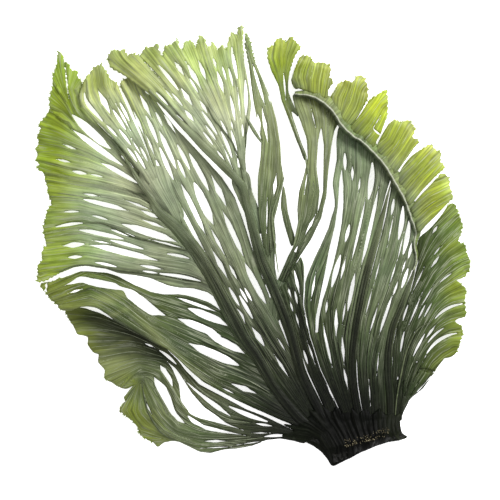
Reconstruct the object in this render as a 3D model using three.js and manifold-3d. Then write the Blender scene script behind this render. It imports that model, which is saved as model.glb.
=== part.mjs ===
// A fan-shaped seaweed frond, cut flat under its holdfast and laid down on its back.
// Millimetres, +Z up. The origin is on the flat underside of the holdfast; +Y runs towards the tips.
import * as THREE from "three";
import { mergeVertices } from "three/addons/utils/BufferGeometryUtils.js";
import Module from "manifold-3d";

const wasm = await Module();
wasm.setup();

// Driving dimensions.
const BLADE_THICKNESS = 1.2;
const NEIGHBOUR_GAP = 0.35; // between a blade and the rib beside it
const HOLDFAST_HEIGHT = 8;
const RIB_FLATNESS = 0.62; // a rib's height for its width

// How the solids are made from them.
const SHEET_CELL = 18; // side of the squares that a blade bends in
const PLATE_MARGIN = 2; // how far a plate reaches past its outline before it is cut
const PRISM_HEIGHT = 60; // taller than any blade
const STRAND_SOFTNESS = 1; // added to every distance to a strand
const STRAND_FALLOFF = 3; // how fast a strand's pull drops with distance
const LONG_SPLIT = 18; // a longer split bends with the fibres
const RIB_SIDES = 8;
const HOLDFAST_PROFILE = [[0.94, 0], [1, 0.3], [0.86, 0.72], [0.4, 1]]; // spread and level of each ring

const HOLDFAST_COLOUR = "#1d2116";
const RIB_COLOUR = "#353a26";
const OLIVE = "#4f5a36";
const SAGE = "#8d9c70";
const LIME = "#8fa83c";
const DEEP_GREEN = "#3f5230";

// The holdfast's outline where it is widest, from the left tip round the cut underside.
const HOLDFAST_OUTLINE = [
  [-26, 0.5], [-20, -4], [-16, -8.5], [-13, -12], [-9, -10], [2, -4.5], [12, -0.7], [23, 2],
  [20, 3.2], [19, 8.6], [8, 7.8], [-4, 5], [-14, 4.6], [-22, 4.6],
];
const HOLDFAST_SPINE = [[-20, 0.5], [-13, -5], [-6, -2], [4, 1.5], [14, 4], [19, 4]];

// Midribs: [x, y, height of the middle, width] from the holdfast outwards.
const RIBS = {
  left_rib: [
    [-23.8, 5.9, 3.2, 3.6], [-29, 10, 3.4, 4.2], [-37, 19, 3.6, 4.4], [-43, 27, 3.8, 4.6],
    [-51.5, 42, 4, 5],
    [-58, 51, 4.2, 6], [-62.5, 59.5, 4.4, 6.6], [-75, 83, 5, 6], [-83, 95.5, 5.4, 5.6],
    [-92.5, 107, 5.8, 5],
    [-101.5, 115, 6, 3],
  ],
  centre_rib: [
    [-16.2, 5.8, 3.4, 3.2], [-21, 16.5, 3.6, 3.6], [-29.5, 34, 4.2, 4], [-33, 48, 4.8, 4.4],
    [-36.7, 60, 5.4, 5], [-43, 76, 6.2, 5], [-49.3, 90.5, 6.8, 4.4], [-53.3, 105, 7.4, 3.6],
    [-57, 119, 7.8, 2.6],
  ],
  right_inner_rib: [
    [1, 7.7, 3.4, 2.4], [-1, 14, 3.6, 2.6], [-3.5, 28, 4.4, 2.8], [-4, 42, 5.2, 2.8], [-2.5, 56, 6.6, 3],
    [0, 70, 8.4, 3], [3, 84, 10.4, 2.8], [7, 99, 12.4, 2.4], [11, 114, 14, 1.8],
  ],
  right_outer_rib: [
    [15, 9.6, 3.4, 2.4], [15, 20, 3.8, 2.6], [14, 32, 4.6, 2.8], [14, 45, 5.6, 2.8], [16, 57, 6.6, 2.6],
    [20, 67, 7.8, 2.4], [24, 78, 9.4, 1.8],
  ],
};

// Blades. strands: rows of [x, y, height] from root to tip. outline: the blade seen from above.
// gaps: splits between the strands as [x, y, length, width]. openings: larger gaps, point by point.
const BLADES = {
  lower_left_frond: {
    colour: OLIVE,
    strands: [
      [[-27, -1, 3], [-40, 1, 2.6], [-54, -2.5, 2], [-68, -4.6, 1.6], [-80, -5.4, 1.4], [-93, -0.5, 1.4],
        [-110, 3.5, 0.8], [-119, 15, 0.8], [-110, 30, 2.6]],
      [[-27, 0, 3], [-40, 2, 2.8], [-54, 0, 2.4], [-68, -1.5, 2.2], [-80, -2, 2.2], [-90, 1, 2.6],
        [-98, 5, 3.2],
        [-107, 14, 3.4], [-110, 28, 3]],
      [[-27, 1, 3], [-40, 3, 3], [-54, 2.5, 2.8], [-68, 2, 2.6], [-80, 2.5, 2.8], [-91, 6, 3.4],
        [-98, 13, 4],
        [-103, 22, 3.8], [-107, 29, 3.4]],
      [[-27, 2, 3], [-40, 4.5, 3], [-54, 5, 3], [-68, 5.5, 3], [-80, 9.5, 3.2], [-89, 16, 3.6],
        [-94, 25, 4],
        [-100, 34, 4], [-110, 37, 3.4], [-124, 30, 0.8]],
      [[-27, 3, 3], [-41, 6.5, 3], [-55, 8.5, 3], [-68, 11, 3.2], [-79, 19, 3.6], [-88, 31, 4],
        [-97, 40, 4.4],
        [-112, 42, 3.6], [-128, 38, 0.8]],
      [[-27, 4, 3], [-43, 8, 3], [-57, 12.5, 3.2], [-69, 18, 3.4], [-80, 25, 3.8], [-90, 36, 4.2],
        [-99, 44, 4.6],
        [-114, 50, 4], [-136, 50, 0.8]],
      [[-30, 5, 3], [-57, 13.5, 3.2], [-80, 26.5, 3.8], [-90, 39, 4.2], [-97, 46, 4.6], [-112, 54, 4.4],
        [-130, 62, 3], [-146, 64, 0.8]],
    ],
    outline: [
      [-27.5, -1], [-40, 1], [-47, 0.2], [-54, -2.5], [-62, -4], [-68, -4.5], [-75, -6.2], [-80, -5.6],
      [-85, -3.2],
      [-90, -0.8], [-94, -0.2], [-98, -1], [-101, -3], [-103, -1.2], [-106, 0.3], [-110, 3.2], [-111.2, 7],
      [-115, 11], [-117, 12.5], [-120, 15], [-117, 20], [-118, 21.5], [-113, 27.5], [-117, 25.8],
      [-121, 27],
      [-124, 29], [-127.5, 31], [-127.5, 35], [-130.8, 39], [-130.5, 43], [-133, 44], [-136, 48],
      [-136, 51.5],
      [-141, 53], [-143, 57], [-146, 62], [-147, 65.5], [-138, 66], [-130, 63.5], [-121, 59], [-112, 54.5],
      [-104, 50], [-97, 46], [-91, 40], [-87, 34.8], [-80, 27.8], [-70, 22.5], [-57, 15.5], [-48, 12],
      [-40, 8.2],
      [-33, 4.8], [-27.5, 3],
    ],
    openings: [
      [[-103, 32], [-102.6, 28], [-99.5, 22], [-95, 14], [-91, 9.6], [-87.5, 8.6], [-92, 14.5], [-94.5, 22],
        [-97, 27]],
      [[-100, 38], [-99.6, 35], [-96, 30], [-93.6, 26.8], [-94, 31], [-97, 36]],
      [[-96.5, 39.8], [-94, 36], [-90.6, 28], [-89.5, 20], [-85, 13.5], [-80, 11], [-71, 8.6], [-58, 5],
        [-66, 8.4], [-71.5, 12.4], [-78, 17], [-84, 24], [-88.4, 31], [-92, 36]],
      [[-86.2, 12.6], [-84, 9], [-77, 5.2], [-68, 3.6], [-57, 2.4], [-68, 5.2], [-78, 7.8]],
      [[-88, 30.6], [-84, 26], [-77, 19.6], [-71, 15], [-64.5, 12], [-70, 17.4], [-79, 23.6]],
    ],
    gaps: [
      [-72, -0.4, 12, 1.6], [-72, -3.6, 16, 0.9], [-54, -1.2, 16, 0.8], [-48, 7.8, 9, 1.5],
      [-49.5, 3.7, 10, 0.9],
      [-105.5, 16, 7, 1], [-105, 47.5, 6, 1.2],
    ],
  },
  left_crest_blade: {
    colour: SAGE,
    beside: ["left_rib"],
    strands: [
      [[-31, 8, 3.4], [-52, 17, 4], [-70, 26, 6], [-85, 36, 9], [-96, 46, 12], [-112, 54.5, 14],
        [-131, 66.6, 12], [-149, 66, 7]],
      [[-36, 15, 3.6], [-53, 26, 5], [-72, 33, 7], [-88, 43, 10], [-102, 53, 12.5], [-118, 65, 13],
        [-134, 72, 10], [-151, 68, 6]],
      [[-45, 30, 4], [-60, 38, 4.4], [-76, 45, 6], [-90, 51.5, 8], [-104, 58.5, 9], [-118, 69, 9.5],
        [-134, 77, 7], [-153, 71, 5]],
      [[-53, 43, 4], [-66, 51, 4], [-80, 57, 4.6], [-93, 62, 5.4], [-106, 66.5, 6], [-120, 77, 6],
        [-134, 81.5, 5], [-155, 73, 2]],
      [[-60, 55, 4], [-71, 63, 3.6], [-85, 68, 3.4], [-98, 72, 3.6], [-110, 76, 3.6], [-123, 82, 3.2],
        [-137, 84, 2.4], [-157, 75.5, 0.6]],
    ],
    outline: [
      [-30, 6.5], [-40, 10.5], [-52, 15.8], [-62, 20.5], [-70, 25], [-78, 29.5], [-85, 35.5], [-91, 41.5],
      [-96, 46],
      [-104, 50], [-112, 54.5], [-121, 59.5], [-126, 63.5], [-131, 66.4], [-138, 67], [-144, 65],
      [-149, 65.5],
      [-151, 68], [-153.5, 70], [-157, 74], [-159.5, 77.5], [-150, 80.5], [-139, 84.2], [-127, 83.6],
      [-121, 81.8],
      [-113, 77.6], [-105, 74.2], [-98, 72.8], [-90, 72.8], [-84, 71.6], [-76, 69], [-66, 62], [-60, 55],
      [-53, 43],
      [-45, 30], [-36, 17], [-27, 8.5],
    ],
    gaps: [
      [-131, 78.6, 34, 4], [-109, 69, 28, 5.6], [-82, 68, 22, 1.8], [-76, 62, 22, 4],
      [-80, 56.5, 24, 4], [-67, 48.5, 22, 4], [-73, 43, 28, 4.5], [-58, 26, 14, 3], [-66, 25, 7, 1],
      [-142, 74.5, 8, 1.4],
    ],
  },
  left_middle_blade: {
    colour: SAGE,
    beside: ["left_rib"],
    strands: [
      [[-84, 99, 6], [-95, 112, 6], [-110, 120.5, 5], [-125, 124, 4], [-140, 126, 3], [-156, 129, 0.8]],
      [[-80, 93, 5.6], [-92, 104, 6], [-107, 109.5, 5.4], [-124, 115, 4.4], [-140, 119, 3.4],
        [-155, 120, 1.4]],
      [[-76, 86, 5.4], [-86, 95, 6], [-104, 99.5, 6], [-122, 105, 5], [-138, 109, 4], [-157, 106, 1.6]],
      [[-72, 79, 5.4], [-84, 88, 6], [-104, 91.5, 6.6], [-122, 96, 6], [-140, 99, 4.6], [-157, 97, 1.6]],
      [[-69, 73, 5.4], [-80, 79.5, 6.4], [-98, 83, 7.6], [-118, 86, 7.6], [-136, 89, 6], [-160, 86, 1.6]],
    ],
    outline: [
      [-68, 69], [-76, 74], [-83, 76], [-90, 76.4], [-96, 77.6], [-104, 81], [-112, 82.6], [-120, 83.6],
      [-127, 85.8],
      [-137, 87.2], [-143, 86.4],
      [-150, 83.6], [-157, 80], [-161, 79.4], [-160.5, 83], [-161, 87], [-158.5, 90], [-158.5, 94],
      [-156.5, 98],
      [-157.5, 102], [-158, 106], [-157, 110], [-156, 115], [-154, 118], [-155.5, 123], [-156, 127],
      [-157, 129.6],
      [-148, 128], [-140, 126.2], [-130, 125.2], [-120, 123], [-110, 120.6], [-104, 117.5], [-98, 113],
      [-92, 106],
      [-83, 95.5], [-75, 83],
    ],
    gaps: [
      [-127, 117.6, 24, 2.6], [-111, 117.5, 16, 1.4], [-134, 122.4, 9, 1.4], [-104, 112.5, 12, 2.2],
      [-103, 108, 14, 1.8], [-105, 103.6, 30, 4], [-97, 98.2, 18, 1.4], [-129, 103, 24, 2.5],
      [-143, 97.5, 12, 3],
      [-118, 94, 36, 3.4], [-129, 99, 10, 1.2], [-142, 91.5, 8, 2], [-104, 86.4, 12, 1.8],
    ],
  },
  upper_left_blade: {
    colour: LIME,
    strands: [
      [[-103, 120, 5], [-110, 124, 4.6], [-118, 127, 4], [-131, 130, 3.4], [-146, 132.5, 2.4],
        [-161, 137, 0.6]],
      [[-103, 122, 5], [-111, 128, 5], [-121, 134, 4.6], [-136, 140, 3.8], [-150, 143, 2.6],
        [-161, 144, 0.8]],
      [[-103.5, 123, 5], [-112, 131, 5.4], [-125, 140, 5.4], [-139, 148, 4.6], [-150, 153, 3.6],
        [-160, 156, 1.6]],
      [[-104, 124, 5], [-114, 135, 5.6], [-128, 146, 6], [-140, 156, 6], [-148, 165, 5], [-155, 170, 3]],
      [[-104.4, 125.6, 5], [-117, 140, 5.6], [-131, 151, 6.6], [-142, 161, 7.4], [-147, 174, 7],
        [-151, 193, 3]],
      [[-105, 127, 5], [-118, 143, 5.6], [-131, 155, 6.8], [-141, 165, 8], [-144, 175, 7.6],
        [-141, 184, 5]],
    ],
    outline: [
      [-103, 118.6], [-110, 122.6], [-118, 126], [-131, 129], [-146, 131.5], [-157, 133.2], [-161.5, 136],
      [-160, 138],
      [-162, 140], [-160.6, 142.5], [-162, 145.5], [-160, 148], [-161, 151.5], [-159.4, 155], [-160, 158],
      [-157, 161],
      [-154.5, 165], [-154.8, 170], [-153, 176], [-153, 182], [-151.2, 187], [-150.5, 194], [-148, 191],
      [-147.5, 188.5],
      [-145.5, 187.5], [-144, 184.5], [-141, 184], [-141, 181], [-139, 179], [-138.2, 175], [-138, 170],
      [-134, 163],
      [-131, 158], [-122, 149], [-114, 140], [-108, 133.4], [-104, 126.5],
    ],
    gaps: [
      [-134, 153.6, 26, 4.6], [-131, 146, 32, 3.2], [-120, 133.6, 22, 2.6], [-148, 139.5, 8, 1.5],
      [-140, 133.6, 8, 2], [-145, 146.4, 8, 1.4], [-146, 178, 16, 1.2],
    ],
  },
  upper_left_light_blade: {
    colour: SAGE,
    strands: [
      [[-106, 129, 8.4], [-114, 142, 9.4], [-122, 151, 10], [-131, 160, 10.8], [-138, 168, 11],
        [-138, 178, 9]],
      [[-104, 130, 8], [-112, 144, 8.6], [-120, 155, 9.4], [-127, 164, 10], [-132, 174, 10],
        [-134, 184, 7]],
      [[-102, 131, 7.4], [-109, 145, 8], [-116, 157, 8.4], [-122, 168, 9], [-127, 177, 9], [-128, 187, 6]],
      [[-100, 131, 7], [-106, 145, 7.4], [-113, 158, 7.6], [-118, 168, 8], [-122, 175, 7.6],
        [-123, 181, 5.4]],
    ],
    outline: [
      [-105, 127.5], [-109.5, 134], [-115.5, 142], [-123, 150.6], [-132, 159.6], [-138, 166.4],
      [-139.4, 172], [-137.6, 178],
      [-135, 182], [-132.5, 185.5], [-129, 187], [-126, 183], [-124.4, 179.6], [-121.4, 178], [-118.4, 171],
      [-113.6, 160], [-107.6, 147], [-102.4, 135], [-101.4, 128.5],
    ],
    gaps: [[-127.5, 168.6, 14, 3.2], [-118, 161, 16, 1.4], [-111, 145.5, 12, 1]],
  },
  upper_middle_blade: {
    colour: SAGE,
    beside: ["left_rib", "centre_rib"],
    strands: [
      [[-24, 9, 3.4], [-47, 37, 3.8], [-60, 62, 4.4], [-75, 88, 5], [-90, 109, 5], [-99, 129, 4.4],
        [-109, 154, 3.4], [-119, 177, 1.6]],
      [[-22, 8.6, 3.4], [-41, 37, 4.4], [-56, 60, 5], [-69, 83, 5.6], [-82, 108, 5.4], [-94, 132, 4.6],
        [-105, 158, 3.2], [-116, 180, 0.6]],
      [[-20.4, 8, 3.4], [-37, 37, 4.6], [-50, 58, 5.4], [-62, 79, 6], [-75, 103, 5.6], [-88, 132, 4.8],
        [-99, 157, 3.6], [-109, 177, 1.4]],
      [[-19, 7.6, 3.4], [-33, 37, 4.4], [-45, 57, 5.4], [-56, 76, 6.2], [-66, 99, 5.8], [-79, 128, 4.6],
        [-92, 152, 3.6], [-104, 171, 1.6]],
    ],
    outline: [
      [-24.5, 8.2], [-31, 14], [-39, 23], [-46, 33], [-53, 44], [-60, 56], [-66, 68], [-74, 84], [-83, 98],
      [-91, 110],
      [-96, 119], [-99.4, 128], [-104.4, 140.6], [-109.4, 154], [-114, 165], [-119.6, 177.4], [-118, 180],
      [-113.5, 180.6],
      [-109, 177.6], [-107, 173.4], [-103.6, 171.6], [-99, 164.6], [-92.6, 156.4], [-85, 148.4],
      [-76.6, 139.4],
      [-69, 131], [-62.6, 121], [-58, 108], [-54.8, 98], [-50, 84], [-44.8, 70], [-40, 57], [-33, 40],
      [-27, 24], [-20, 7.6],
    ],
    gaps: [
      [-98, 120, 19, 1.8], [-92, 114.6, 14, 1.8], [-86.5, 110, 38, 2.3], [-83.4, 115.6, 30, 2.8],
      [-78, 118, 24, 4.6],
      [-71, 99, 18, 1.8], [-70, 88, 18, 2.6], [-76, 87, 12, 1.4], [-68, 76.6, 10, 1.8], [-63.4, 84, 9, 1.7],
      [-63.4, 103, 26, 2.8], [-52.6, 78.6, 24, 3.2], [-60, 62, 14, 3.6], [-51, 52, 12, 2.8],
      [-39.5, 37.5, 14, 1.7],
      [-39.4, 48, 8, 1], [-107, 166.6, 14, 2.4], [-110.6, 158.6, 14, 1.8], [-104.6, 147, 12, 1.4],
      [-96, 145, 22, 2.8],
      [-95, 158, 12, 1.8], [-80.4, 134, 22, 2.8], [-70.6, 124.6, 18, 3.2],
    ],
  },
  top_blade: {
    colour: SAGE,
    strands: [
      [[-59.6, 122.4, 8], [-70, 137, 9], [-88, 156, 8], [-106, 175, 6], [-125, 191, 0.8]],
      [[-59.3, 123, 8], [-69, 141, 9.4], [-84, 161, 9], [-98, 178, 7.4], [-112, 193, 2]],
      [[-58.8, 123.4, 8], [-68, 146, 9.6], [-80, 165, 9.6], [-91, 182, 8], [-102, 197, 2.4]],
      [[-58.2, 123.4, 8], [-66, 150, 9.6], [-76, 169, 9.6], [-85, 185, 8], [-93, 199, 2.8]],
      [[-57.6, 123.4, 8], [-64, 153, 9.4], [-71, 172, 9.4], [-77, 187, 7.6], [-81, 201, 2.4]],
      [[-57, 123.4, 8], [-62, 155, 9.2], [-66, 174, 9], [-70, 188, 7.2], [-73, 198, 2.6]],
      [[-56.5, 123.4, 8], [-59, 156, 9], [-61, 175, 8.6], [-64, 190, 6.6], [-65, 199, 2]],
      [[-56, 122.8, 8], [-57, 152, 9], [-57, 172, 8.4], [-58, 190, 6], [-60, 206, 0.6]],
    ],
    outline: [
      [-58.4, 120.6], [-61.6, 126], [-66, 133], [-73, 140], [-80, 147], [-88, 154.6], [-97, 164.6],
      [-106, 173.4],
      [-116, 181], [-124.6, 186.6], [-126, 191], [-123, 195], [-120, 194], [-118, 195], [-116, 192],
      [-113, 193],
      [-110, 191.6], [-107, 196], [-104, 195.8], [-101.4, 197.5], [-100, 193], [-98.6, 191], [-97, 196.6],
      [-94, 197.6],
      [-91, 200], [-90.4, 196], [-88.8, 194], [-87, 198.6], [-84, 199], [-82.4, 195.6], [-81.4, 197.4],
      [-80, 202],
      [-78, 200.6], [-76, 195.4], [-73.5, 198.5], [-71, 194.6], [-69, 197], [-67, 194], [-64, 203.5],
      [-61.6, 202],
      [-60.4, 206.5], [-58.6, 206.5], [-58.8, 198], [-58, 188], [-56, 178], [-54.6, 168], [-55.6, 158],
      [-57, 150],
      [-57.4, 140], [-56.6, 130], [-55.6, 121.4],
    ],
    gaps: [
      [-90, 185, 9, 2.4], [-83, 181.6, 18, 2.8], [-78.6, 184, 12, 2.2], [-72.6, 188, 8, 1.8],
      [-69.6, 178, 13, 2.4],
      [-86.4, 171, 11, 2.8], [-85, 161.6, 8, 2.2], [-78, 166, 8, 1.8], [-64, 157, 6, 1.2],
      [-95.4, 172.6, 9, 1],
      [-60.4, 168, 16, 1.2], [-104, 185, 12, 0.9], [-66, 141, 14, 1.2],
    ],
  },
  top_ribbon: {
    colour: OLIVE,
    beside: ["centre_rib"],
    strands: [
      [[-46.6, 90, 6.6], [-51, 112, 8], [-51, 132, 9.4], [-49, 150, 9.6], [-52, 168, 9], [-54.6, 186, 6],
        [-57, 198, 3]],
      [[-46, 90, 6.6], [-48, 112, 8], [-46, 132, 9.8], [-45, 150, 10], [-48, 168, 9.4], [-53, 185, 6.4],
        [-56, 196, 3]],
      [[-44.4, 90, 6.6], [-44.5, 110, 8.4], [-41, 128, 10], [-41, 148, 10.4], [-44, 166, 9.4],
        [-50, 183, 6], [-54.6, 195, 2.4]],
    ],
    outline: [
      [-46.8, 90.6], [-49, 100], [-50.6, 112], [-51, 122], [-50.8, 132], [-49.6, 141], [-49.4, 150],
      [-51.4, 160],
      [-53, 168], [-54.4, 178], [-55.6, 188], [-57.4, 198], [-56.8, 203], [-55, 199], [-53, 190],
      [-49, 180], [-45, 170],
      [-42, 159], [-40.2, 148], [-39.6, 138], [-38.4, 130], [-40.6, 120], [-43, 110], [-42.4, 100],
      [-44.4, 91],
    ],
    gaps: [
      [-42.6, 127, 12, 2], [-50.6, 158, 10, 2], [-47.6, 157, 18, 2.2], [-50.6, 177, 22, 1.8],
      [-45.4, 170, 6, 1],
      [-46.6, 112, 18, 1],
    ],
  },
  short_prong: {
    colour: DEEP_GREEN,
    strands: [
      [[-36, 96, 8], [-38, 108, 9], [-40, 118, 10], [-39.4, 126, 10]],
      [[-33.6, 98, 8], [-35.6, 109, 9], [-37.4, 118, 10], [-38, 126, 10]],
    ],
    outline: [
      [-34.2, 97], [-36.4, 103], [-38.4, 110], [-39.6, 116], [-39.4, 121], [-38.4, 126.5], [-37.2, 121],
      [-36.4, 114],
      [-34.6, 107], [-32.9, 100.5],
    ],
    gaps: [],
  },
  tall_lobe: {
    colour: LIME,
    strands: [
      [[-27.4, 139, 13.6], [-31, 149, 13], [-35, 160, 12], [-39, 171, 10.6], [-42, 181, 9], [-46, 190, 5],
        [-45, 197, 1.4]],
      [[-27.2, 140, 13.6], [-30.6, 150, 13], [-34.6, 162, 12], [-38, 172, 10.4], [-39, 182, 8.4],
        [-40, 192, 4.4], [-39, 200, 0.6]],
      [[-31, 160, 13], [-33.6, 165, 12.4], [-36, 170, 11.4], [-37, 175, 10], [-36.5, 183, 8],
        [-34, 190, 4.6], [-30, 197, 1.4]],
    ],
    outline: [
      [-27.8, 139.4], [-31.8, 149], [-35.8, 160], [-39.2, 169], [-41, 177], [-44.2, 184], [-46, 190],
      [-45.6, 196], [-43, 197],
      [-41.6, 200], [-39, 200.6], [-37, 198.4], [-34.6, 201.4], [-32.4, 199], [-29.6, 196.4], [-32, 193],
      [-34, 188],
      [-35.2, 184], [-36.2, 178], [-36, 173], [-34.4, 168.6], [-31.8, 163], [-31.2, 161], [-34.4, 163.6],
      [-33.8, 160],
      [-30.6, 150.6], [-27.1, 140.8],
    ],
    gaps: [[-37.8, 176, 14, 1.2]],
  },
  fork_blade: {
    colour: OLIVE,
    strands: [
      [[-40, 79.6, 7.6], [-35, 91, 9], [-31, 101, 10.6], [-30, 111, 12], [-29, 123, 13.6], [-27, 136, 15],
        [-26, 148, 14.8], [-29, 160, 13], [-33, 171, 11]],
      [[-39, 79, 7.6], [-34, 91, 9], [-29, 102, 10.6], [-24, 112, 12], [-21.6, 124, 13.6], [-23, 137, 15],
        [-22.4, 148, 15], [-23, 159, 13], [-26, 170, 10.6]],
      [[-38.6, 78.6, 7.6], [-33.6, 90, 9], [-28, 101, 10.6], [-22, 112, 12], [-20, 124, 13.6],
        [-19, 136, 15.4], [-18, 148, 15], [-18, 158, 13], [-19, 168, 10.6]],
      [[-38, 78, 7.6], [-32, 88.6, 9], [-25.6, 99, 10.6], [-20, 109, 12], [-17.5, 122, 13.6],
        [-16.5, 135, 15.4], [-15, 148, 15], [-12.5, 155, 13], [-11, 159, 11]],
    ],
    outline: [
      [-40.4, 80], [-36.6, 90], [-32.6, 99], [-31, 108], [-31.4, 116], [-30.6, 124], [-28, 133],
      [-26.4, 141],
      [-27, 150], [-29.6, 158], [-33, 167], [-33.6, 171.6], [-31, 173], [-25, 171], [-19, 168], [-14, 163],
      [-10.8, 159], [-13.4, 154], [-15, 146], [-16.4, 135], [-17.4, 122], [-20, 110.6], [-25, 100],
      [-29.6, 93],
      [-33, 87.4], [-38.2, 78.6],
    ],
    openings: [
      [[-21.6, 113.5], [-18.8, 124], [-18.6, 136], [-18.4, 147], [-19.8, 155.5], [-21.6, 148], [-22.2, 136],
        [-20.8, 124]],
    ],
    gaps: [[-25, 107.6, 12, 1.6], [-27.4, 128, 12, 0.8], [-23.6, 160, 10, 0.8]],
  },
  centre_left_blade: {
    colour: OLIVE,
    beside: ["centre_rib"],
    strands: [
      [[-13.4, 6, 3.4], [-18, 18, 3.8], [-24, 30, 4.2], [-29, 45, 5], [-33, 58, 5.8], [-37, 70, 6.8],
        [-39.6, 77, 7.4]],
      [[-11.4, 6, 3.4], [-15.5, 19, 3.8], [-22, 33, 4.6], [-27, 47, 5.6], [-31, 61, 6.8], [-34, 73, 8],
        [-36.6, 80, 8.6]],
      [[-9.4, 6, 3.4], [-13.5, 20, 4], [-20.6, 36, 5], [-26, 52, 6.4], [-29.6, 66, 7.8], [-31.6, 77, 9],
        [-33.4, 84.6, 9.4]],
      [[-7.6, 6, 3.4], [-12, 20, 4], [-19.5, 36, 5.4], [-25, 52, 7], [-28.2, 66, 8.6], [-28.6, 80, 10],
        [-29.6, 90, 10.4]],
    ],
    outline: [
      [-14, 5.4], [-17, 14], [-21, 23], [-26, 34], [-30.6, 47], [-34, 59], [-39, 72], [-40.6, 76.6],
      [-38.4, 77.6],
      [-34.2, 84.6], [-30, 91.4], [-28.6, 88], [-28.4, 80], [-28.6, 68], [-25.6, 52.6], [-20.4, 36],
      [-13, 20],
      [-8.4, 10], [-7.4, 5.4],
    ],
    gaps: [
      [-31.6, 78.6, 14, 1.8], [-35.6, 74.6, 8, 1.2], [-34.4, 67, 6, 1.3], [-31.4, 60, 8, 1.1],
      [-24.6, 44, 13, 1.1],
      [-26.6, 58, 10, 0.9], [-15, 24, 9, 0.9],
    ],
  },
  centre_blade: {
    colour: DEEP_GREEN,
    beside: ["right_inner_rib"],
    strands: [
      [[-6.4, 6, 3.4], [-12.4, 20, 4], [-19.5, 36, 5.4], [-25, 52, 7], [-27.6, 68, 9], [-26, 82, 11],
        [-20, 96, 13], [-16, 105, 14.4], [-12.5, 117, 15.4], [-14, 128, 15], [-11, 140, 13.6],
        [-10, 154, 11]],
      [[-4, 6, 3.4], [-9, 20, 4.2], [-15, 36, 5.6], [-19, 52, 7.2], [-20, 66, 9], [-17, 80, 11],
        [-13, 93, 13], [-10, 105, 14.6], [-8, 115, 15.4], [-7, 125, 15.2], [-8, 136, 13.8], [-8, 151, 11]],
      [[-2, 6.2, 3.4], [-6, 20, 4.2], [-10, 36, 5.6], [-13, 52, 7.2], [-13, 66, 9], [-10, 80, 11],
        [-7, 93, 13], [-4, 105, 14.6], [-2, 115, 15.4], [0, 125, 15.2], [1, 136, 13.6], [1, 146, 11]],
      [[-1, 6.4, 3.4], [-4, 20, 4.2], [-7, 36, 5.4], [-8, 52, 7], [-5.6, 66, 8.6], [-3, 80, 10.6],
        [0, 93, 12.6], [3, 105, 14.4], [5, 115, 15.4], [7, 125, 15], [8, 132, 13.4], [8, 139, 11.2]],
      [[0, 6.6, 3.4], [-2.6, 20, 4.2], [-5, 36, 5.2], [-4.6, 52, 6.4], [-2, 68, 8.4], [1.4, 83, 10.6],
        [5, 96, 12.4], [8, 108, 14], [10, 118, 15.4], [12, 126, 14.6], [12.6, 129, 13.2], [13, 132, 12]],
    ],
    outline: [
      [-6.8, 5.4], [-7.8, 10], [-12.4, 20], [-19.8, 36], [-25, 52.6], [-28, 68], [-27.4, 79], [-23.6, 89.4],
      [-20, 97], [-16, 106], [-13, 117], [-14, 128], [-12, 140], [-12, 150], [-10.4, 156.6], [-8, 154.6],
      [-4, 151],
      [0, 148.5], [5, 144], [10, 138.5], [14.4, 132], [12.6, 125], [9.6, 114], [6, 102], [2, 86],
      [-1.6, 70],
      [-4.4, 56], [-5.6, 42], [-5, 28], [-2.6, 14], [-0.4, 7],
    ],
    openings: [
      [[-22.6, 54], [-21.2, 54], [-20.4, 62], [-18.8, 70], [-16.4, 78], [-13.6, 88], [-11.4, 98],
        [-9.6, 108],
        [-8.8, 118], [-8.8, 127], [-9.6, 135], [-11, 129], [-11.8, 117], [-13.2, 107], [-16, 95],
        [-18.4, 82],
        [-20.8, 70], [-22.4, 62]],
    ],
    gaps: [
      [-23.6, 77, 15, 1.4], [-17, 67, 7, 1.5], [-8.8, 86, 12, 1.6], [-12.2, 58.6, 15, 2.2],
      [-8.4, 63.6, 12, 1.2],
      [-4.8, 74, 20, 2.2], [-8.7, 45, 15, 1.9], [-7.3, 31, 11, 1.6], [-16.6, 47.6, 23, 1.5],
      [-1.2, 105, 32, 1.5], [4.4, 106, 42, 2.2], [-4.4, 133, 8, 1.8], [-1, 127, 8, 1.2],
    ],
  },
  right_inner_blade: {
    colour: DEEP_GREEN,
    beside: ["right_inner_rib", "right_outer_rib"],
    strands: [
      [[3, 7.6, 3.4], [1.4, 22, 4], [-1, 40, 5], [1, 60, 7], [6, 80, 10], [10, 97, 12.4], [13, 113, 14],
        [16, 129, 11.6]],
      [[5.6, 8, 3.4], [4, 22, 4.2], [3, 40, 5.4], [6, 60, 7.6], [12, 78, 10.4], [17, 94, 13], [20, 108, 13.4],
        [21, 120, 11]],
      [[9, 8.4, 3.4], [8, 22, 4.2], [7.4, 38, 5.4], [12, 57, 7.4], [17, 72, 10], [22, 87, 12.6],
        [25, 98, 12.6], [26, 107, 10.6]],
      [[12.6, 9.2, 3.4], [12, 22, 4], [11.8, 38, 5], [13.6, 55, 7], [18, 67, 8.6], [22, 79, 10.8],
        [25, 88, 11.2], [27, 95, 10]],
    ],
    outline: [
      [2.6, 7.4], [1.2, 14], [-1, 28], [-1.8, 42], [-0.6, 56], [2, 70], [5.4, 84], [9, 98], [12.4, 112],
      [14.6, 124],
      [15.6, 130.6], [19, 124], [22, 118], [25, 110], [27, 104], [26.5, 100], [26, 95], [27.4, 90.6],
      [25, 85],
      [22.4, 78], [18.6, 68.6], [14.6, 57], [12.4, 45], [12.4, 32], [13.2, 20], [13.4, 9.2],
    ],
    gaps: [
      [8, 84, 14, 1], [19.6, 97, 15, 1], [16, 84, 14, 1], [17, 75.6, 9, 1.3], [12.4, 63, 22, 1.7],
      [6.6, 61, 16, 1.2],
      [21, 86.6, 8, 1], [4, 69, 14, 1], [8.6, 38, 12, 0.9], [14.4, 104, 16, 1], [4.6, 24, 14, 0.8],
    ],
  },
  right_outer_blade: {
    colour: DEEP_GREEN,
    beside: ["right_outer_rib"],
    strands: [
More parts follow.
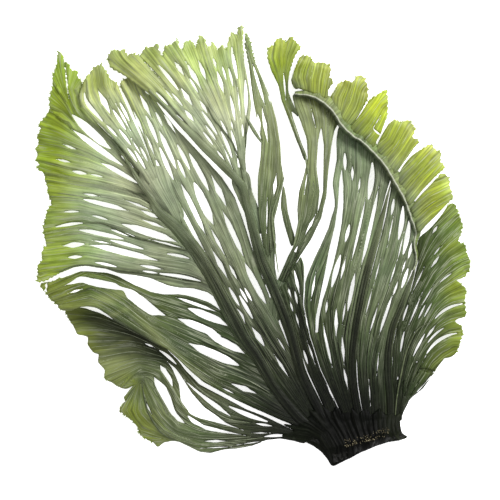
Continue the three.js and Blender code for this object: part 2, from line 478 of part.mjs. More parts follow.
      [[17.2, 10.4, 3.4], [17.2, 30, 3.8], [18.4, 55, 4.6], [24, 76, 5.4], [30, 92, 5.8], [36, 106, 5],
        [48, 117, 0.8]],
      [[17.8, 10.4, 3.4], [18, 30, 4.4], [20, 55, 5.8], [26, 74, 6.6], [33, 89, 6.8], [41, 99, 5.4],
        [50, 108, 1.4]],
      [[18.4, 10.4, 3.4], [19, 28, 4.6], [22, 50, 6.2], [29, 68, 7.4], [37, 82, 7.4], [45, 90, 5.4],
        [53, 94, 0.8]],
      [[19, 10.4, 3.4], [20, 27, 4.6], [24, 46, 6], [31, 62, 7.2], [38, 74, 7.4], [46, 80, 5.6],
        [53, 84, 1.6]],
      [[19.4, 10.4, 3.4], [20.6, 25, 4.4], [25, 42, 5.6], [32, 56, 6.8], [38, 66, 7], [45, 71, 5.4],
        [53, 73, 0.8]],
      [[19.8, 10.4, 3.4], [21.4, 22, 4], [25, 36, 5], [31, 49, 6], [37, 57, 6.4], [44, 62, 5.2],
        [52, 64, 1.6]],
      [[20.2, 10.4, 3.4], [22, 20, 3.8], [26, 32, 4.4], [31.6, 43, 5.2], [37, 50, 5.6], [44, 54, 4.6],
        [51, 55, 0.8]],
      [[20.6, 10.2, 3.4], [23, 18, 3.4], [28, 25, 3.4], [33, 31, 3.2], [37, 37, 2.8], [42, 41, 1.8],
        [47, 44, 0.6]],
    ],
    outline: [
      [17, 10.2], [17, 20], [16.2, 32], [16.2, 45], [18.2, 56.6], [22, 66.4], [25.4, 76], [28.8, 89],
      [28, 96], [29.4, 101],
      [35, 106], [40, 111.6], [44, 117], [47, 118], [48.5, 114], [51, 107], [50, 103], [48.6, 99.4],
      [52, 97.5], [53, 94],
      [54.5, 90], [54.5, 85], [51.5, 81.6], [47.6, 80], [50, 78], [53, 74.5], [52, 70], [52.5, 62],
      [49, 61],
      [47, 59.5], [50.5, 57], [51, 54], [50, 50], [48, 44], [45, 41.6], [42, 41], [38, 36], [34, 30],
      [31, 26], [26, 22],
      [22.5, 18], [20.8, 13], [20.4, 10.2],
    ],
    gaps: [
      [28.6, 80, 15, 1], [37, 89, 8, 1.6], [27.4, 66, 18, 1.2], [35, 54.5, 9, 1.5], [29.4, 36, 15, 0.9],
      [36, 112, 5, 1.4],
      [37, 105, 5, 1.6], [38, 94.5, 6, 1], [27, 25.6, 8, 0.6], [33, 72, 14, 0.9], [24.4, 48, 14, 0.8],
    ],
  },
};

// The lobes that hang over the far side of the crest, in order from left to right.
const CREST_LOBES = [
  {
    strands: [
      [[-32, 175, 15.4], [-34, 180, 12.6], [-33, 186, 6], [-30, 191, 1]],
      [[-24, 173, 16], [-24, 179, 12.4], [-22, 188, 1.4]],
      [[-18, 170.6, 16], [-17, 176, 12.4], [-15, 186, 1]],
    ],
    outline: [
      [-32.6, 174.6], [-34.5, 179], [-33, 184], [-31, 189], [-29, 192], [-25.5, 191.5], [-23, 188.5],
      [-19, 188.5],
      [-15, 187], [-15.5, 181], [-14, 178.5], [-16.4, 174], [-17, 169.4], [-24.8, 172.8], [-30.8, 174.8],
    ],
    gaps: [[-27, 182, 9, 0.9], [-20, 179, 8, 0.8]],
  },
  {
    strands: [
      [[-14, 165, 17], [-14, 171, 13], [-10, 178, 2]],
      [[-9, 160, 17.4], [-5, 168, 12], [-1, 181, 0.8]],
      [[-6, 156, 17.4], [0, 163, 12], [3, 173, 2]],
    ],
    outline: [
      [-14.6, 166], [-15.4, 170], [-13, 174], [-11, 178], [-7, 179.5], [-4, 178.5], [-1, 182], [2, 181],
      [3.4, 177],
      [3.4, 170], [-0.4, 163.4], [-4, 157.6], [-6.6, 155.8], [-9, 158.2], [-12.6, 163],
    ],
    gaps: [[-8, 171, 10, 0.9], [-2, 170, 9, 0.9]],
  },
  {
    strands: [
      [[-4, 153.4, 18], [2, 160, 15], [12, 173, 4]],
      [[3, 148, 18], [8, 154, 14.6], [13, 164, 4]],
    ],
    outline: [
      [-5.6, 154.8], [-2.8, 158.6], [0.6, 163.4], [4.2, 169.4], [8, 172], [13, 174.5], [13.4, 168],
      [13, 161], [10.4, 155],
      [7.4, 149], [5.8, 145], [0.8, 149.8], [-3.2, 152.4],
    ],
    gaps: [[4, 160, 12, 0.9], [8, 158.6, 8, 0.8]],
  },
  {
    strands: [
      [[8, 143.6, 17.6], [14, 149, 13], [20, 160, 1]],
      [[14, 136, 17.4], [20, 144, 12.6], [27, 154, 1]],
    ],
    outline: [
      [7, 144.4], [8.6, 148.4], [11.6, 154], [14, 157.6], [17, 160], [20, 158.8], [24.5, 159.5],
      [27.5, 155.5], [26, 151],
      [29, 149.5], [26, 145.4], [20.6, 138], [16, 131.8], [11.2, 139],
    ],
    gaps: [[14.6, 148, 12, 0.9], [19, 146.6, 12, 0.9]],
  },
  {
    strands: [
      [[18, 129, 17], [25, 136, 12.6], [36, 147, 1]],
      [[23, 119, 16.6], [31, 129, 12], [42, 140, 1]],
    ],
    outline: [
      [17, 130.4], [21.4, 137.2], [25, 141.4], [28, 143.6], [32, 146], [35, 147.5], [37.5, 145],
      [40, 143.5], [40, 139],
      [42, 136.5], [38, 132.6], [31.4, 126], [23.4, 117.4], [20, 124.4],
    ],
    gaps: [[26, 133, 14, 1], [30, 131, 12, 0.9]],
  },
  {
    strands: [
      [[24, 115, 16], [33, 122.6, 11.6], [45, 128, 1]],
      [[27.6, 106, 15], [35, 112.6, 11], [46, 119, 1.4]],
    ],
    outline: [
      [24.2, 116.2], [32, 124.6], [38, 130.6], [41, 133], [44, 131], [44.5, 127], [46, 121], [42, 117],
      [37.4, 112.4],
      [32, 107.4], [28.4, 103.8], [25.8, 111],
    ],
    gaps: [[33, 118, 12, 0.9]],
  },
];

// A closed mesh as a solid that can be cut or joined.
function toSolid(geometry) {
  const bare = new THREE.BufferGeometry();
  bare.setAttribute("position", geometry.getAttribute("position").clone());
  if (geometry.index) bare.setIndex(geometry.index.clone());
  const merged = mergeVertices(bare, 1e-4);
  return new wasm.Manifold(
    new wasm.Mesh({
      numProp: 3,
      vertProperties: new Float32Array(merged.attributes.position.array),
      triVerts: new Uint32Array(merged.index.array),
    }),
  );
}

// A solid back as a mesh geometry.
function toGeometry(solid) {
  const mesh = solid.getMesh();
  const geometry = new THREE.BufferGeometry();
  const position = new Float32Array(mesh.numVert * 3);
  for (let i = 0; i < mesh.numVert; i++) {
    const start = i * mesh.numProp;
    position.set(mesh.vertProperties.subarray(start, start + 3), i * 3);
  }
  geometry.setAttribute("position", new THREE.BufferAttribute(position, 3));
  geometry.setIndex(new THREE.BufferAttribute(new Uint32Array(mesh.triVerts), 1));
  geometry.computeVertexNormals();
  return geometry;
}

// An upright prism over a closed outline, taller than any blade stands.
function prism(points) {
  const shape = new THREE.Shape(points.map(([x, y]) => new THREE.Vector2(x, y)));
  const geometry = new THREE.ExtrudeGeometry(shape, { depth: PRISM_HEIGHT, bevelEnabled: false });
  geometry.translate(0, 0, -PRISM_HEIGHT / 4);
  return toSolid(geometry);
}

// The pieces of all strands: where each runs, and which way.
function strandSegments(strands) {
  return strands.flatMap((strand) =>
    strand.slice(1).map((end, i) => {
      const start = strand[i];
      const run = new THREE.Vector2(end[0] - start[0], end[1] - start[1]);
      return { start, end, run, length: run.length() };
    }),
  );
}

// The surface at a point seen from above: its height and the way its fibres run,
// both from the strands nearby, nearer ones counting for more.
function surfaceAt(segments, x, y) {
  const along = new THREE.Vector2();
  let height = 0;
  let total = 0;
  for (const { start, end, run, length } of segments) {
    const t = THREE.MathUtils.clamp(
      ((x - start[0]) * run.x + (y - start[1]) * run.y) / (length * length), 0, 1);
    const distance = Math.hypot(x - start[0] - t * run.x, y - start[1] - t * run.y);
    const weight = 1 / (distance + STRAND_SOFTNESS) ** STRAND_FALLOFF;
    height += weight * THREE.MathUtils.lerp(start[2], end[2], t);
    along.addScaledVector(run, weight / length);
    total += weight;
  }
  return { height: height / total, along: along.normalize() };
}

// A thin plate that follows the strands' heights over the whole outline, in square cells.
function plate(segments, outline, thickness) {
  const box = new THREE.Box2().setFromPoints(outline.map(([x, y]) => new THREE.Vector2(x, y)));
  box.expandByScalar(PLATE_MARGIN);
  const size = box.getSize(new THREE.Vector2());
  const columns = Math.ceil(size.x / SHEET_CELL);
  const rows = Math.ceil(size.y / SHEET_CELL);
  const slab = new THREE.BoxGeometry(size.x, size.y, thickness, columns, rows, 1);
  slab.translate((box.min.x + box.max.x) / 2, (box.min.y + box.max.y) / 2, 0);
  const position = slab.getAttribute("position");
  for (let i = 0; i < position.count; i++) {
    const { height } = surfaceAt(segments, position.getX(i), position.getY(i));
    position.setZ(i, position.getZ(i) + Math.max(height, thickness / 2));
  }
  return toSolid(slab);
}

// The outline of a split between strands: a lens that bends with the fibres.
function splitOutline(segments, [x, y, length, width]) {
  const steps = length > LONG_SPLIT ? 2 : 1;
  const stations = [{ x, y, offset: 0 }];
  for (const way of [1, -1]) {
    let here = new THREE.Vector2(x, y);
    for (let i = 1; i <= steps; i++) {
      const { along } = surfaceAt(segments, here.x, here.y);
      here = here.clone().addScaledVector(along, (way * length) / 2 / steps);
      stations.push({ x: here.x, y: here.y, offset: (way * i) / steps });
    }
  }
  stations.sort((a, b) => a.offset - b.offset);
  const side = (sign) =>
    stations.map((station) => {
      const { along } = surfaceAt(segments, station.x, station.y);
      const half = (sign * width * Math.sqrt(1 - station.offset ** 2)) / 2;
      return [station.x - along.y * half, station.y + along.x * half];
    });
  return [...side(-1), ...side(1).reverse().slice(1, -1)];
}

// One blade: the plate cut to its outline, split between its strands and kept clear of its ribs.
function bladeSolid({ strands, outline, openings = [], gaps, beside = [] }) {
  const segments = strandSegments(strands);
  let solid = plate(segments, outline, BLADE_THICKNESS).intersect(prism(outline));
  for (const points of openings) solid = solid.subtract(prism(points));
  for (const gap of gaps) solid = solid.subtract(prism(splitOutline(segments, gap)));
  for (const rib of beside) solid = solid.subtract(prism(corridor(RIBS[rib], NEIGHBOUR_GAP)));
  return solid;
}

// The strip of ground under a rib, wider by a clearance.
function corridor(route, clearance) {
  const side = (sign) =>
    route.map(([x, y, , width], i) => {
      const across = acrossRoute(route, i).multiplyScalar(sign * (width / 2 + clearance));
      return [x + across.x, y + across.y];
    });
  return [...side(-1), ...side(1).reverse()];
}

// The level direction square to a route at one of its points.
function acrossRoute(route, i) {
  const before = route[Math.max(i - 1, 0)];
  const after = route[Math.min(i + 1, route.length - 1)];
  return new THREE.Vector3(before[1] - after[1], after[0] - before[0], 0).normalize();
}

// A midrib: a flattened round section swept along its route, with closed ends.
function ribGeometry(route) {
  const rings = route.map(([x, y, z, width], i) => {
    const across = acrossRoute(route, i);
    return Array.from({ length: RIB_SIDES }, (_, k) => {
      const angle = (2 * Math.PI * (k + 0.5)) / RIB_SIDES;
      return new THREE.Vector3(x, y, z)
        .addScaledVector(across, (Math.cos(angle) * width) / 2)
        .add(new THREE.Vector3(0, 0, (Math.sin(angle) * width * RIB_FLATNESS) / 2));
    });
  });
  return loft(rings);
}

// A closed skin over rings of equal point count, capped at both ends by a fan to the middle.
function loft(rings) {
  const count = rings[0].length;
  const vertices = rings.flat();
  const faces = [];
  for (let r = 0; r + 1 < rings.length; r++) {
    for (let k = 0; k < count; k++) {
      const a = r * count + k;
      const b = r * count + ((k + 1) % count);
      faces.push([a, b, b + count], [a, b + count, a + count]);
    }
  }
  const cap = (ring, start, flip) => {
    const middle = ring.reduce((sum, p) => sum.add(p), new THREE.Vector3()).divideScalar(count);
    const centre = vertices.push(middle) - 1;
    for (let k = 0; k < count; k++) {
      const a = start + k;
      const b = start + ((k + 1) % count);
      faces.push(flip ? [centre, b, a] : [centre, a, b]);
    }
  };
  cap(rings[0], 0, true);
  cap(rings.at(-1), (rings.length - 1) * count, false);
  const geometry = new THREE.BufferGeometry().setFromPoints(vertices);
  geometry.setIndex(faces.flat());
  return geometry;
}

// The nearest point of a route on the ground.
function nearestOnRoute(route, x, y) {
  let best = { distance: Infinity };
  for (const { start, run, length } of strandSegments([route])) {
    const t = THREE.MathUtils.clamp(
      ((x - start[0]) * run.x + (y - start[1]) * run.y) / (length * length), 0, 1);
    const point = [start[0] + t * run.x, start[1] + t * run.y];
    const distance = Math.hypot(x - point[0], y - point[1]);
    if (distance < best.distance) best = { distance, point };
  }
  return best.point;
}

// The holdfast: a low lump over its outline, flat underneath, drawn in to its spine at the top.
function holdfastGeometry() {
  const rings = HOLDFAST_PROFILE.map(([spread, level]) =>
    HOLDFAST_OUTLINE.map(([x, y]) => {
      const [sx, sy] = nearestOnRoute(HOLDFAST_SPINE, x, y);
      return new THREE.Vector3(sx + (x - sx) * spread, sy + (y - sy) * spread, level * HOLDFAST_HEIGHT);
    }),
  );
  return loft(rings);
}

// A named piece in its own colour.
function piece(name, geometry, colour) {
  const material = new THREE.MeshStandardMaterial({ color: colour, roughness: 0.45, metalness: 0 });
  const mesh = new THREE.Mesh(geometry, material);
  mesh.name = name;
  return mesh;
}

const frond = new THREE.Group();
frond.add(piece("holdfast", holdfastGeometry(), HOLDFAST_COLOUR));
for (const [name, route] of Object.entries(RIBS)) {
  frond.add(piece(name, ribGeometry(route), RIB_COLOUR));
}
for (const [name, blade] of Object.entries(BLADES)) {
  frond.add(piece(name, toGeometry(bladeSolid(blade)), blade.colour));
}
CREST_LOBES.forEach((lobe, i) => {
  frond.add(piece(`crest_lobe_${i + 1}`, toGeometry(bladeSolid(lobe)), LIME));
});

export default frond;
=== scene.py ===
"""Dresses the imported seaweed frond: split blades, grooved ribs, a cut holdfast and fine surface fibres."""

import logging
import math
from dataclasses import dataclass, field
from enum import Enum

import bmesh
import bpy
import numpy as np
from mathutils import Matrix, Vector, geometry, kdtree


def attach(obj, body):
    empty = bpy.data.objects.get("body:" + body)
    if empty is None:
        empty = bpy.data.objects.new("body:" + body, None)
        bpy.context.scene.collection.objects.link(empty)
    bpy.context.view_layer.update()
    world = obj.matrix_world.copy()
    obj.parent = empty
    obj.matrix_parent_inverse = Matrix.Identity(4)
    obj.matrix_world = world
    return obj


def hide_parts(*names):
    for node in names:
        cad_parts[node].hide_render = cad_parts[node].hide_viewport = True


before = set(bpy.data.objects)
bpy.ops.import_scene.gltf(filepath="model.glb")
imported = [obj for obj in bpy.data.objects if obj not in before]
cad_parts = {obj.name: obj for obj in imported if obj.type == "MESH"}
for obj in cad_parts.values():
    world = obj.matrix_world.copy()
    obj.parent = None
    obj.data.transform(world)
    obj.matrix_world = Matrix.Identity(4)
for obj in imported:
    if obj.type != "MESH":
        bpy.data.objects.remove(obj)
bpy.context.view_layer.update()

LOG = logging.getLogger("frond")

Array = np.ndarray
Piece = bpy.types.Object
Socket = bpy.types.NodeSocket
Colour = tuple[float, float, float]
Screen = tuple[int, int, int]
Point = tuple[float, float, float]
Strand = tuple[Point, ...]
RibPoint = tuple[float, float, float, float]
Route = tuple[tuple[float, float], ...]
Spot = tuple[float, float, float, float, float, float]

# Everything below is drawn in millimetres and made in metres
MM = 0.001
BODY = "root"
UV_NAME = "Fibres"

# Corners of a solid that are closer than this, in metres, are one corner
MERGE_GAP = 1e-6

# The blades share these sizes, in millimetres
BLADE_THICKNESS = 1.2
MESH_STEP = 0.62
MESH_JITTER = 0.12
MARGIN_CLEARANCE = 0.34
MARGIN_GROWTH = 0.16
CORNER_GAP = 0.25
TOOTH_PITCH = 2.3
STRAND_SOFTNESS = 1.0
STRAND_WIDTH = 7.0
LEAST_GAP = 0.3
FIBRE_CLEARANCE = 0.45
FLOOR_GAP = 0.05
TOOTH_SINK = 0.25

# Length that one unit of the fibre pattern stands for, in millimetres
PATTERN_UNIT = 100

# How steeply a strand's pull fades with distance
STRAND_FALLOFF = 3

# A face belongs to the upper side when its normal points up by more than this
UPPER_TILT = 0.2

# Height of an even triangle, for a side of 1
TRIANGLE_HEIGHT = 0.866

# How finely curves are drawn, and how many points are tested at once
CURVE_PARTS = 8
LENS_POINTS = 9
RIB_STEPS = 60
VEIN_POINTS = 70
POINTS_AT_ONCE = 4000

# The growth lines of a rib, as shares of its half width from its left margin to its right one
RIB_LINES = (1, 0.5, 0, -0.5, -1)

# Lobes along the crest, the brightest of them, and places where a speck is tried on the torn edge
CREST_LOBES = 6
BRIGHTEST_LOBE = 3
SPECK_TRIES = 110

# Fibres that stand out: lines between two strands, points of a line, points of a short pale fibre, which is a
# painted highlight, and points that a line keeps beyond its start
FIBRES_BETWEEN = 4
FIBRE_POINTS = 110
GLINT_POINTS = 34
GLINT_RESERVE = 30

# Where dark fibres end and the pale ones, painted highlights, begin and end, as shares of the way to the rim
DARK_END = 0.5
DARK_CORE = 0.3
GLINT_BAND = (0.5, 0.92)

# How a sheet thins out at its margin: depth of the rounding and least thickness, as shares of the full one
EDGE_ROUNDING = 0.6
EDGE_THICKNESS = 0.3

# How far from the margin a sheet has its full crown, and how low the crown starts, as a share of it
CROWN_REACH = 2.6
CROWN_DIP = 0.4

# Odd factors that turn an even row of numbers into scattered ones
SCATTER_PITCH = 12.9898
SCATTER_SHIFT = 78.233
SCATTER_GAIN = 43758.5453

# Where teeth and ruffles begin and are full, as shares of the way to the rim
TOOTH_BAND = (0.9, 0.97)
RUFFLE_BAND = (0.8, 1.0)
TIP_START = 0.93

# Where a vein begins to fade and has faded, as shares of the way to the rim, and how much of it goes
VEIN_FADE = (0.5, 0.95, 0.55)

# The dark foot: centre x and y, stretch along x, radius where it is darkest, radius where it ends,
# strength, steepness
FOOT_SHADES = ((-12, -6, 1.25, 20, 64, 0.9, 1.1), (2, -4, 1, 8, 30, 0.97, 1))

# Shade under the crest: strength, how far it reaches, and the x beyond which a blade has it
CREST_SHADE = (0.6, 5, -40)

# The room is bright, so a skin reflects this share of the colour it shows
PIGMENT_SHARE = 0.55

# Distance from the holdfast to the rim of the fan, by direction in degrees from the right
RIM: Route = (
    (0, 60), (20, 60), (41, 68), (50, 84), (58, 100), (66, 124), (75, 150), (85, 172), (95, 188), (102, 204),
    (108, 214), (116, 222), (124, 228), (129, 244), (134, 226), (140, 212), (148, 188), (154, 176),
    (160, 162), (166, 142), (172, 122), (180, 112), (270, 60), (360, 60),
)

# Veins over the blades, whose dark bands are partly painted shade where one blade's edge lies over another:
# half width of the dark band, half width of the raised fibre or 0, route
VEIN_AND_SHADE_BANDS: tuple[tuple[float, float, Route], ...] = (
    (2.4, 0.4, ((-66, 66), (-73, 76), (-82, 80), (-92, 81.5), (-103, 83), (-115, 84.5), (-125, 86),
                (-135, 87.5), (-143, 87), (-150, 84))),
    (1.2, 0.35, ((-70, 78), (-78, 89), (-85, 94), (-95, 97), (-105, 99.5), (-115, 102), (-123, 106),
                 (-130, 108.5), (-145, 108))),
    (1.2, 0.35, ((-88, 103), (-95, 113), (-101, 119), (-110, 123), (-120, 125), (-130, 127), (-145, 129))),
    (2.2, 0.0, ((-101, 117), (-104, 121), (-110, 129), (-116, 139), (-122, 148), (-128, 154), (-137, 159))),
    (2.6, 0.0, ((-57, 122), (-59, 128), (-66, 134), (-73, 141), (-80, 148), (-86, 153), (-92, 160),
                (-98, 167), (-104, 173), (-110, 178), (-118, 184))),
    (1.2, 0.35, ((-57, 122), (-60, 138), (-63, 147), (-68, 154), (-73, 160), (-76, 166))),
    (1.5, 0.35, ((-55, 126), (-57, 138), (-57, 148), (-57, 158))),
    (1.4, 0.3, ((11, 112), (12, 120), (14, 128))),
    (1.4, 0.3, ((24, 76), (26, 84), (27, 90))),
    (1.0, 0.0, ((-26, 40), (-30, 60), (-34, 76))),
    (1.4, 0.4, ((17, 5), (18, 20), (20, 32), (23, 45), (28, 55), (34, 59))),
    (1.2, 0.3, ((-93, 0), (-100, 5), (-106, 15), (-109, 29))),
)

# Thin loose strands that link the blades: half width and the points of each
LOOSE_STRANDS: tuple[tuple[float, Strand], ...] = (
    (0.6, ((-28, 144, 14), (-27.2, 139, 14.6), (-26.4, 134, 15.6), (-25.4, 127, 15))),
    (0.45, ((-41, 84, 8), (-43, 100, 9), (-44, 112, 10), (-41, 122, 10.4), (-38, 131, 10.6))),
    (0.9, ((-57, 161, 9.4), (-53, 154, 9.8), (-49, 148, 10.2))),
    (0.6, ((-30, 113, 12.4), (-31.6, 104, 11.2), (-33.6, 96, 10))),
)

# The ribs run on as thinner bands beyond their solids: x, y, height and width at each point
RIB_TAILS: dict[str, tuple[RibPoint, ...]] = {
    "left_rib": ((-104, 121, 6, 2.2), (-110, 129, 6.6, 1.6), (-116, 139, 7, 1.1), (-122, 148, 7.6, 0.7),
                 (-129, 155, 8, 0.4)),
    "centre_rib": ((-59, 127, 8.8, 2.6), (-66, 134.6, 9.6, 3), (-74, 142.6, 9.8, 3.2), (-82, 150.6, 9.6, 3.2),
                   (-92, 161, 8.8, 3), (-99, 168.4, 7.6, 3), (-105, 174.4, 6.4, 3)),
    "right_inner_rib": ((13, 122, 14.2, 1.6), (15, 129, 12.6, 1)),
    "right_outer_rib": ((26, 84, 10.6, 1.6), (27, 90, 11.4, 1)),
}

# Skin that joins ribs to blades, and blades to one another: outline, growth lines
JUNCTIONS: dict[str, tuple[Route, tuple[Strand, ...]]] = {
    "left_junction": (
        ((-92, 106), (-88, 112), (-93, 124), (-98, 136), (-105, 136), (-110, 133), (-106, 122), (-101, 116),
         (-97, 109)),
        (((-93, 107, 4.6), (-98, 114, 5), (-104, 122, 6.6), (-108, 127, 7.6), (-110, 131, 6.8)),
         ((-91, 108, 4.6), (-96, 117, 6), (-101, 125, 8), (-103, 128, 8), (-106, 136, 6.4)),
         ((-89, 110, 4.4), (-93, 119, 5.4), (-96, 125, 6.8), (-98, 130, 6), (-100, 136, 4.6))),
    ),
    "centre_junction": (
        ((-55, 104), (-48, 104), (-51, 116), (-54, 124), (-56, 133), (-62, 136), (-64, 129), (-61, 121),
         (-57, 112)),
        (((-55, 105, 6), (-58, 114, 6.4), (-61, 124, 7.2), (-63, 133, 8)),
         ((-52, 105, 6.2), (-55, 114, 6.6), (-58, 124, 7.6), (-60, 135, 8.4)),
         ((-49, 105, 6.2), (-52, 115, 6.8), (-55, 124, 7.6), (-57, 132, 8.4))),
    ),
    "left_overlap": (
        ((-156, 128.6), (-148, 127.2), (-140, 125.4), (-132, 124.6), (-124, 123.2), (-116, 121.2),
         (-110, 119.4), (-105, 117.2), (-105, 120.6), (-110, 124), (-116, 126.2), (-124, 129.2),
         (-132, 131.2), (-140, 132.2), (-148, 133.4), (-157, 134)),
        (((-105, 117.4, 4.2), (-116, 121.4, 3.6), (-132, 124.8, 3), (-156, 128.8, 1.2)),
         ((-105, 119, 4.2), (-116, 123.8, 3.6), (-132, 128, 3), (-156, 131.4, 1.2)),
         ((-105, 120.4, 4.2), (-116, 126, 3.8), (-132, 131, 3.2), (-157, 133.8, 1.2))),
    ),
    "fork_foot": (
        ((-45, 58), (-40.6, 60), (-38, 68), (-35.6, 77), (-32.8, 86), (-31.6, 93), (-34.4, 94), (-37.6, 88),
         (-40.2, 82), (-43, 76), (-45.6, 67)),
        (((-44.4, 58, 5), (-44, 70, 6), (-40.4, 81, 7.2), (-35.6, 91, 8)),
         ((-42.6, 58, 5), (-41, 68, 6), (-37.6, 80, 7.4), (-33.6, 92, 8.2)),
         ((-41, 60, 4.8), (-38.2, 68, 5.8), (-35.2, 79, 7), (-32, 92, 8))),
    ),
    "ribbon_foot": (
        ((-47.6, 78), (-42.2, 79.5), (-42.6, 86), (-42.8, 92), (-42.4, 98.6), (-46.8, 99.4), (-48.6, 92),
         (-48.4, 85)),
        (((-47, 79, 5.6), (-48, 88, 6.2), (-46.6, 98, 7)),
         ((-45, 79, 5.8), (-45.6, 88, 6.4), (-44.8, 98, 7.2)),
         ((-43, 80, 5.8), (-43, 88, 6.4), (-42.8, 98, 7))),
    ),
    "right_foot": (
        ((16.6, 10.4), (19.8, 10.4), (21.6, 14.4), (24, 19.4), (25.4, 24), (23, 29), (20, 31), (17, 28),
         (16.4, 20)),
        (((16.6, 11, 2.8), (16.8, 20, 3.2), (17.6, 28, 3.6)),
         ((18.4, 11, 2.6), (19.6, 20, 3), (20.4, 30, 3.6)),
         ((19.8, 11, 2.4), (22.8, 19, 2.6), (24.8, 27, 3))),
    ),
    "right_fold": (
        ((20.6, 24), (24.2, 21.4), (28.4, 25), (32.6, 29), (35.2, 33), (38.4, 36.8), (35, 38.8), (30, 38.8),
         (25, 38.2), (21.6, 32)),
        (((22, 24, 2.8), (24.4, 32, 3.8), (27, 38, 4)),
         ((24.6, 23, 2.4), (29, 32, 3), (33, 38.4, 3.2)),
         ((27, 24.6, 2), (33, 32, 1.9), (37, 37, 1.6))),
    ),
}

# The dark collar where the fibres run over the holdfast to its torn edge
COLLAR_OUTLINE: Route = (
    (-14, -12.4), (-9, -10.4), (2, -4.9), (12, -1.1), (23.2, 1.8), (20.6, 4), (19.6, 9), (19.8, 13.4),
    (17.4, 12.6), (15.6, 15), (13, 13), (9.6, 16), (6, 13.4), (2.4, 16), (-1, 13.6), (-5.4, 17), (-8, 14),
    (-12.4, 17), (-14, 14.4), (-19.6, 18), (-20.4, 14), (-26.4, 16), (-26, 11.4), (-33, 12.4), (-30, 7.6),
    (-38, 8), (-33, 4.6), (-39, 2.4), (-31, -0.4), (-27, -0.8), (-20, -4.8), (-16.4, -9),
)
COLLAR_LINES: tuple[Strand, ...] = (
    ((-14.4, -11, 4), (-18, -5, 7.4), (-22, -1, 6.2), (-27, 0, 3.8), (-33, 0.4, 3)),
    ((-13.8, -11.4, 4), (-16, -4, 8.6), (-20, 2, 7.8), (-26, 5, 4.6), (-33, 6, 3.4)),
    ((-12, -11, 4), (-13, -3, 8.8), (-17, 4, 7.6), (-23, 9, 4.5), (-28, 13, 3.5)),
    ((-8, -9.6, 4), (-8, -2, 8.8), (-11, 4, 7.4), (-15, 10, 4.6), (-18, 17, 3.7)),
    ((-1, -6, 4), (-2, 0, 8.8), (-4, 5, 7.2), (-6, 10, 4.6), (-7, 16, 3.7)),
    ((8, -2.4, 4), (6, 2, 8.6), (5, 6, 7.2), (4.6, 10, 4.6), (4, 15.6, 3.7)),
    ((14, -0.4, 4), (12, 4, 8.2), (12, 7, 6.8), (12, 11, 4.6), (13, 15, 3.6)),
    ((22, 2, 3.6), (18.6, 4.6, 7.6), (18, 8, 6.2), (18.6, 11, 4.4), (20, 14, 3.4)),
)

# The rim of the right-hand crest, where the inner blades fold down and carry painted shade
CREST: Route = (
    (-33, 172), (-25, 171), (-19, 168), (-14, 163), (-10, 157), (-4, 151), (0, 148.5), (5, 144), (10, 138.5),
    (15, 131), (19, 124), (22, 118), (25, 110), (27, 104), (26.5, 98), (27.5, 91), (26, 85),
)

# The torn edge: where its specks begin, how far it runs to the right and up, and how wide their band is
TORN_EDGE = ((-8, -1), (22, 6), 4)

# Where the grooves of the holdfast would meet
RAY_CENTRE = (2, -30)

# Height of the crest by its share of the length, and its section: distance outwards and drop from the rim
CREST_HEIGHTS: Route = (
    (0, 16.2), (0.06, 16.6), (0.12, 16.9), (0.18, 17.6), (0.3, 18.3), (0.36, 18.1), (0.42, 18.7),
    (0.48, 18.3), (0.54, 18.5), (0.6, 17.9), (0.66, 17), (0.72, 16.5), (0.78, 15.5), (0.84, 13.4),
    (0.9, 12.8), (1, 12.4),
)
CREST_PROFILE: Route = (
    (-1.4, -6.6), (-1.2, -5.6), (-0.95, -4.2), (-0.7, -2.4), (-0.5, -1.2), (-0.3, -0.4), (-0.15, -0.1),
    (0, 0), (0.15, -0.03), (0.35, -0.08), (0.7, -0.12), (1.3, -0.2), (2, -0.5), (2.8, -1.2),
    (3.6, -2.4), (4.4, -4),
)

# How the fold narrows towards its ends, and how its colour ages from the inner foot to the outer one
CREST_REACH: Route = ((0, 0.3), (0.1, 1), (0.75, 1), (0.88, 0.3), (1, 0.1))
CREST_AGES: Route = ((-1.4, 0.1), (0, 0.3), (0.7, 0.5), (4.4, 0.8))

# Painted shade in the hollows, painted highlights on the bulges, and lime tufts: centre x and y, radii
# along and across, turn in degrees, strength
PAINTED_SHADE_SPOTS: tuple[Spot, ...] = (
    (-104, 47, 16, 4, -36, 0.75), (-122, 57, 16, 4.5, -22, 0.6), (-136, 61, 12, 4, 0, 0.55),
    (-112, 42, 14, 3.4, -10, 0.35), (-128, 50, 12, 2.4, 10, 0.3), (-134, 76, 22, 3, 14, 0.35),
    (-98, 86, 26, 3, 4, 0.25), (-8, 140, 12, 6, -35, 0.45), (12, 122, 14, 7, -58, 0.45),
    (-24, 160, 12, 4, -20, 0.35), (30, 40, 16, 5, 50, 0.3),
)
# The bulges carry a painted highlight
PAINTED_HIGHLIGHT_SPOTS: tuple[Spot, ...] = (
    (-121, 38, 9, 4.6, 14, 1.0), (-130, 69.6, 20, 3.4, 18, 0.8), (-125, 62, 10, 1.4, 22, 0.8),
    (-119, 49, 8, 1.2, 25, 0.7), (-100, 50, 14, 2.4, -48, 0.7), (-86, 37, 12, 2.2, -46, 0.5),
    (-132, 152, 12, 6, 45, 0.3), (-150, 100, 12, 8, 0, 0.25), (-128, 20, 9, 7, 60, 0.35),
)
